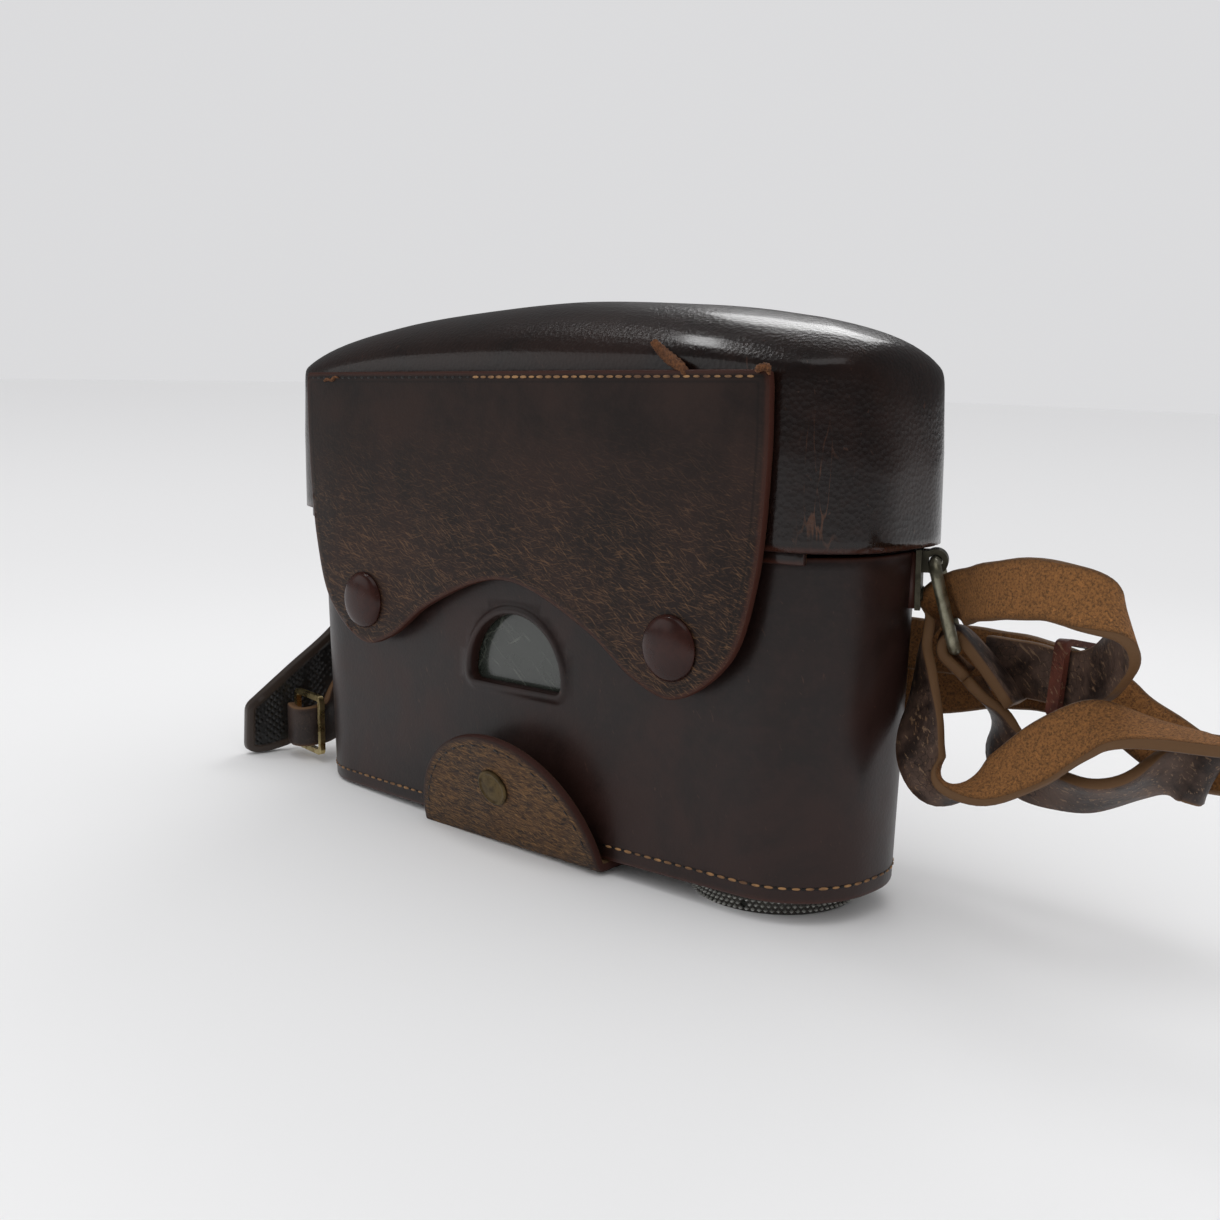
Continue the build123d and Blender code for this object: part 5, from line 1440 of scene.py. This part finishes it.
def wireRing(name, side):
    bar, normal, tangent = lugFrame(side)
    down = normal * math.sin(ring["lean"]) - Vector((0, 0, 1)) * math.cos(ring["lean"])
    facing = tangent.cross(down)
    middle = bar + down * (ring["length"] / 2)
    c, loop = ring["corner"], []
    corners = [(1, 1, 0), (-1, 1, 90), (-1, -1, 180), (1, -1, 270)]
    for x, y, start in corners:
        for k in range(9):
            a = math.radians(start + 90 * k / 8)
            u = x * (ring["width"] / 2 - c) + c * math.cos(a)
            v = y * (ring["length"] / 2 - c) + c * math.sin(a)
            loop.append((u, v, math.cos(a), math.sin(a)))
    around, points = 20, []
    for u, v, outU, outV in loop:
        centre, outward = middle + tangent * u - down * v, tangent * outU - down * outV
        for k in range(around):
            a = 2 * math.pi * k / around
            points.append(tuple(centre + (outward * math.cos(a) + facing * math.sin(a)) * ring["wire"]))
    return faceOutward(makeObject(name, points, tubeFaces(len(loop), around, "joined")))


def lugSeat(name, side):
    bar, normal, tangent = lugFrame(side)
    points = []
    for along in (-ring["seatHalf"], ring["seatHalf"]):
        for outward, z in ring["seat"]:
            p = bar + tangent * along + normal * outward
            points.append((p.x, p.y, z))
    sides = [(k, (k + 1) % 4, (k + 1) % 4 + 4, k + 4) for k in range(4)]
    return faceOutward(makeObject(name, points, [(0, 1, 2, 3), (4, 5, 6, 7)] + sides))


for label, side in (("left", -1), ("right", 1)):
    wire = wireRing("ring" + label.title(), side)
    place(wire, materials["ring"], "ring_" + label + "_body", "plated_metal", "ring_" + label)
    place(lugSeat("lugSeat" + label.title(), side), materials["body"], "case", "leather_body")


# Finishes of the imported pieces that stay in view.
finishes = {
    "inside": ["bottom_panel", "window_frame"],
    "felt": ["base_pad", "body_lining", "lid_lining"],
    "pane": ["window_pane"],
    "brass": ["snap_stud_left", "snap_stud_right", "stud_washer_left", "stud_washer_right"]
    + ["snap_socket_left", "snap_socket_right", "tab_stud", "tab_socket", "screw_bush"],
    "lug": ["lug_left", "lug_right", "lug_rivets_left", "lug_rivets_right"],
    "ring": ["keeper_clip"],
    "shadedKnobBase": ["screw_knob"],
    "knob": ["screw_shank", "knob_washer"],
    "loop": ["pad_loop_lower", "pad_loop_upper"],
    "keeper": ["strap_keeper"],
}
for key, names in finishes.items():
    for name in names:
        node = nodes[name]
        node.data.materials.clear()
        node.data.materials.append(materials[key])
print("packed pieces finished")


# Stage, lights and camera.
stage = {"left": -74.0, "tilt": 0.03, "rows": (-4000.0, -900.0, 900.0, 4000.0)}


def buildFloor():
    rows = stage["rows"]
    points = [(x, y, -stage["tilt"] * (x - stage["left"])) for y in rows for x in rows]
    faces = [(4 * j + i, 4 * j + i + 1, 4 * j + i + 5, 4 * j + i + 4) for j in range(3) for i in range(3)]
    obj = makeObject("floorPlane", points, faces)
    material, tree = newMaterial("paleFloor")
    finishMaterial(tree, {"Base Color": (0.84, 0.84, 0.838, 1), "Roughness": 0.9, "Specular IOR Level": 0.1})
    obj.data.materials.append(material)


buildFloor()

lights = [
    {"name": "bigTop", "at": (300, -300, 2000), "aim": (0, 0, 0), "size": (1300, 1300), "power": 5.4},
    {"name": "backSoft", "at": (-300, 640, 640), "aim": (60, 0, 105), "size": (420, 200), "power": 0.16, "spread": 60},
    {
        "name": "creaseGlint",
        "at": (-470, -20, 880),
        "aim": (45, -12, 100),
        "size": (240, 60),
        "power": 0.045,
        "spread": 50,
    },
    {"name": "leftSoft", "at": (-700, -700, 420), "aim": (0, 0, 40), "size": (700, 500), "power": 0.9},
]
for look in lights:
    data = bpy.data.lights.new(look["name"], "AREA")
    data.shape = "RECTANGLE"
    data.size, data.size_y = look["size"][0] * mm, look["size"][1] * mm
    data.energy = look["power"]
    data.spread = math.radians(look.get("spread", 180))
    lamp = linked(look["name"], data)
    spot, aim = Vector(look["at"]) * mm, Vector(look["aim"]) * mm
    lamp.matrix_world = Matrix.LocRotScale(spot, (aim - spot).to_track_quat("-Z", "Y"), None)

# strength of the room as the camera, glossy rays and all other rays see it
roomLight = {"camera": 0.722, "glossy": 0.13, "other": 0.86}
world = bpy.data.worlds.new("paleRoom")
world.use_nodes = True
world.node_tree.nodes.clear()
room = world.node_tree
path = add(room, "ShaderNodeLightPath").outputs
dim = remap(room, path["Is Glossy Ray"], 0, 1, roomLight["other"], roomLight["glossy"], "LINEAR")
wall = sums(room, "MULTIPLY", path["Is Camera Ray"], roomLight["camera"])
strength = sums(room, "ADD", sums(room, "MULTIPLY", dim, sums(room, "SUBTRACT", 1.0, path["Is Camera Ray"])), wall)
glow = add(room, "ShaderNodeBackground", {"Color": (0.985, 0.985, 1.0, 1), "Strength": strength}).outputs[0]
room.links.new(glow, add(room, "ShaderNodeOutputWorld").inputs[0])
bpy.context.scene.world = world
bpy.context.scene.view_settings.view_transform = "Standard"

shot = {"at": (216.79, -226.13, 91.65), "lens": 43.51, "yaw": 0.746, "pitch": 0.147, "roll": 0.006}


def buildCamera():
    data = bpy.data.cameras.new("photoCamera")
    data.lens, data.sensor_width = shot["lens"], 36.0
    data.clip_start, data.clip_end = 0.01, 20.0
    data.dof.use_dof = False
    camera = linked("photoCamera", data)
    yaw, pitch, roll = shot["yaw"], shot["pitch"], shot["roll"]
    forward = Vector((-math.sin(yaw) * math.cos(pitch), math.cos(yaw) * math.cos(pitch), -math.sin(pitch)))
    right = Vector((math.cos(yaw), math.sin(yaw), 0))
    up = right.cross(forward)
    sideways = right * math.cos(roll) + up * math.sin(roll)
    upward = -right * math.sin(roll) + up * math.cos(roll)
    turn = Matrix((sideways, upward, -forward)).transposed().to_4x4()
    camera.matrix_world = Matrix.Translation(Vector(shot["at"]) * mm) @ turn
    bpy.context.scene.camera = camera


buildCamera()
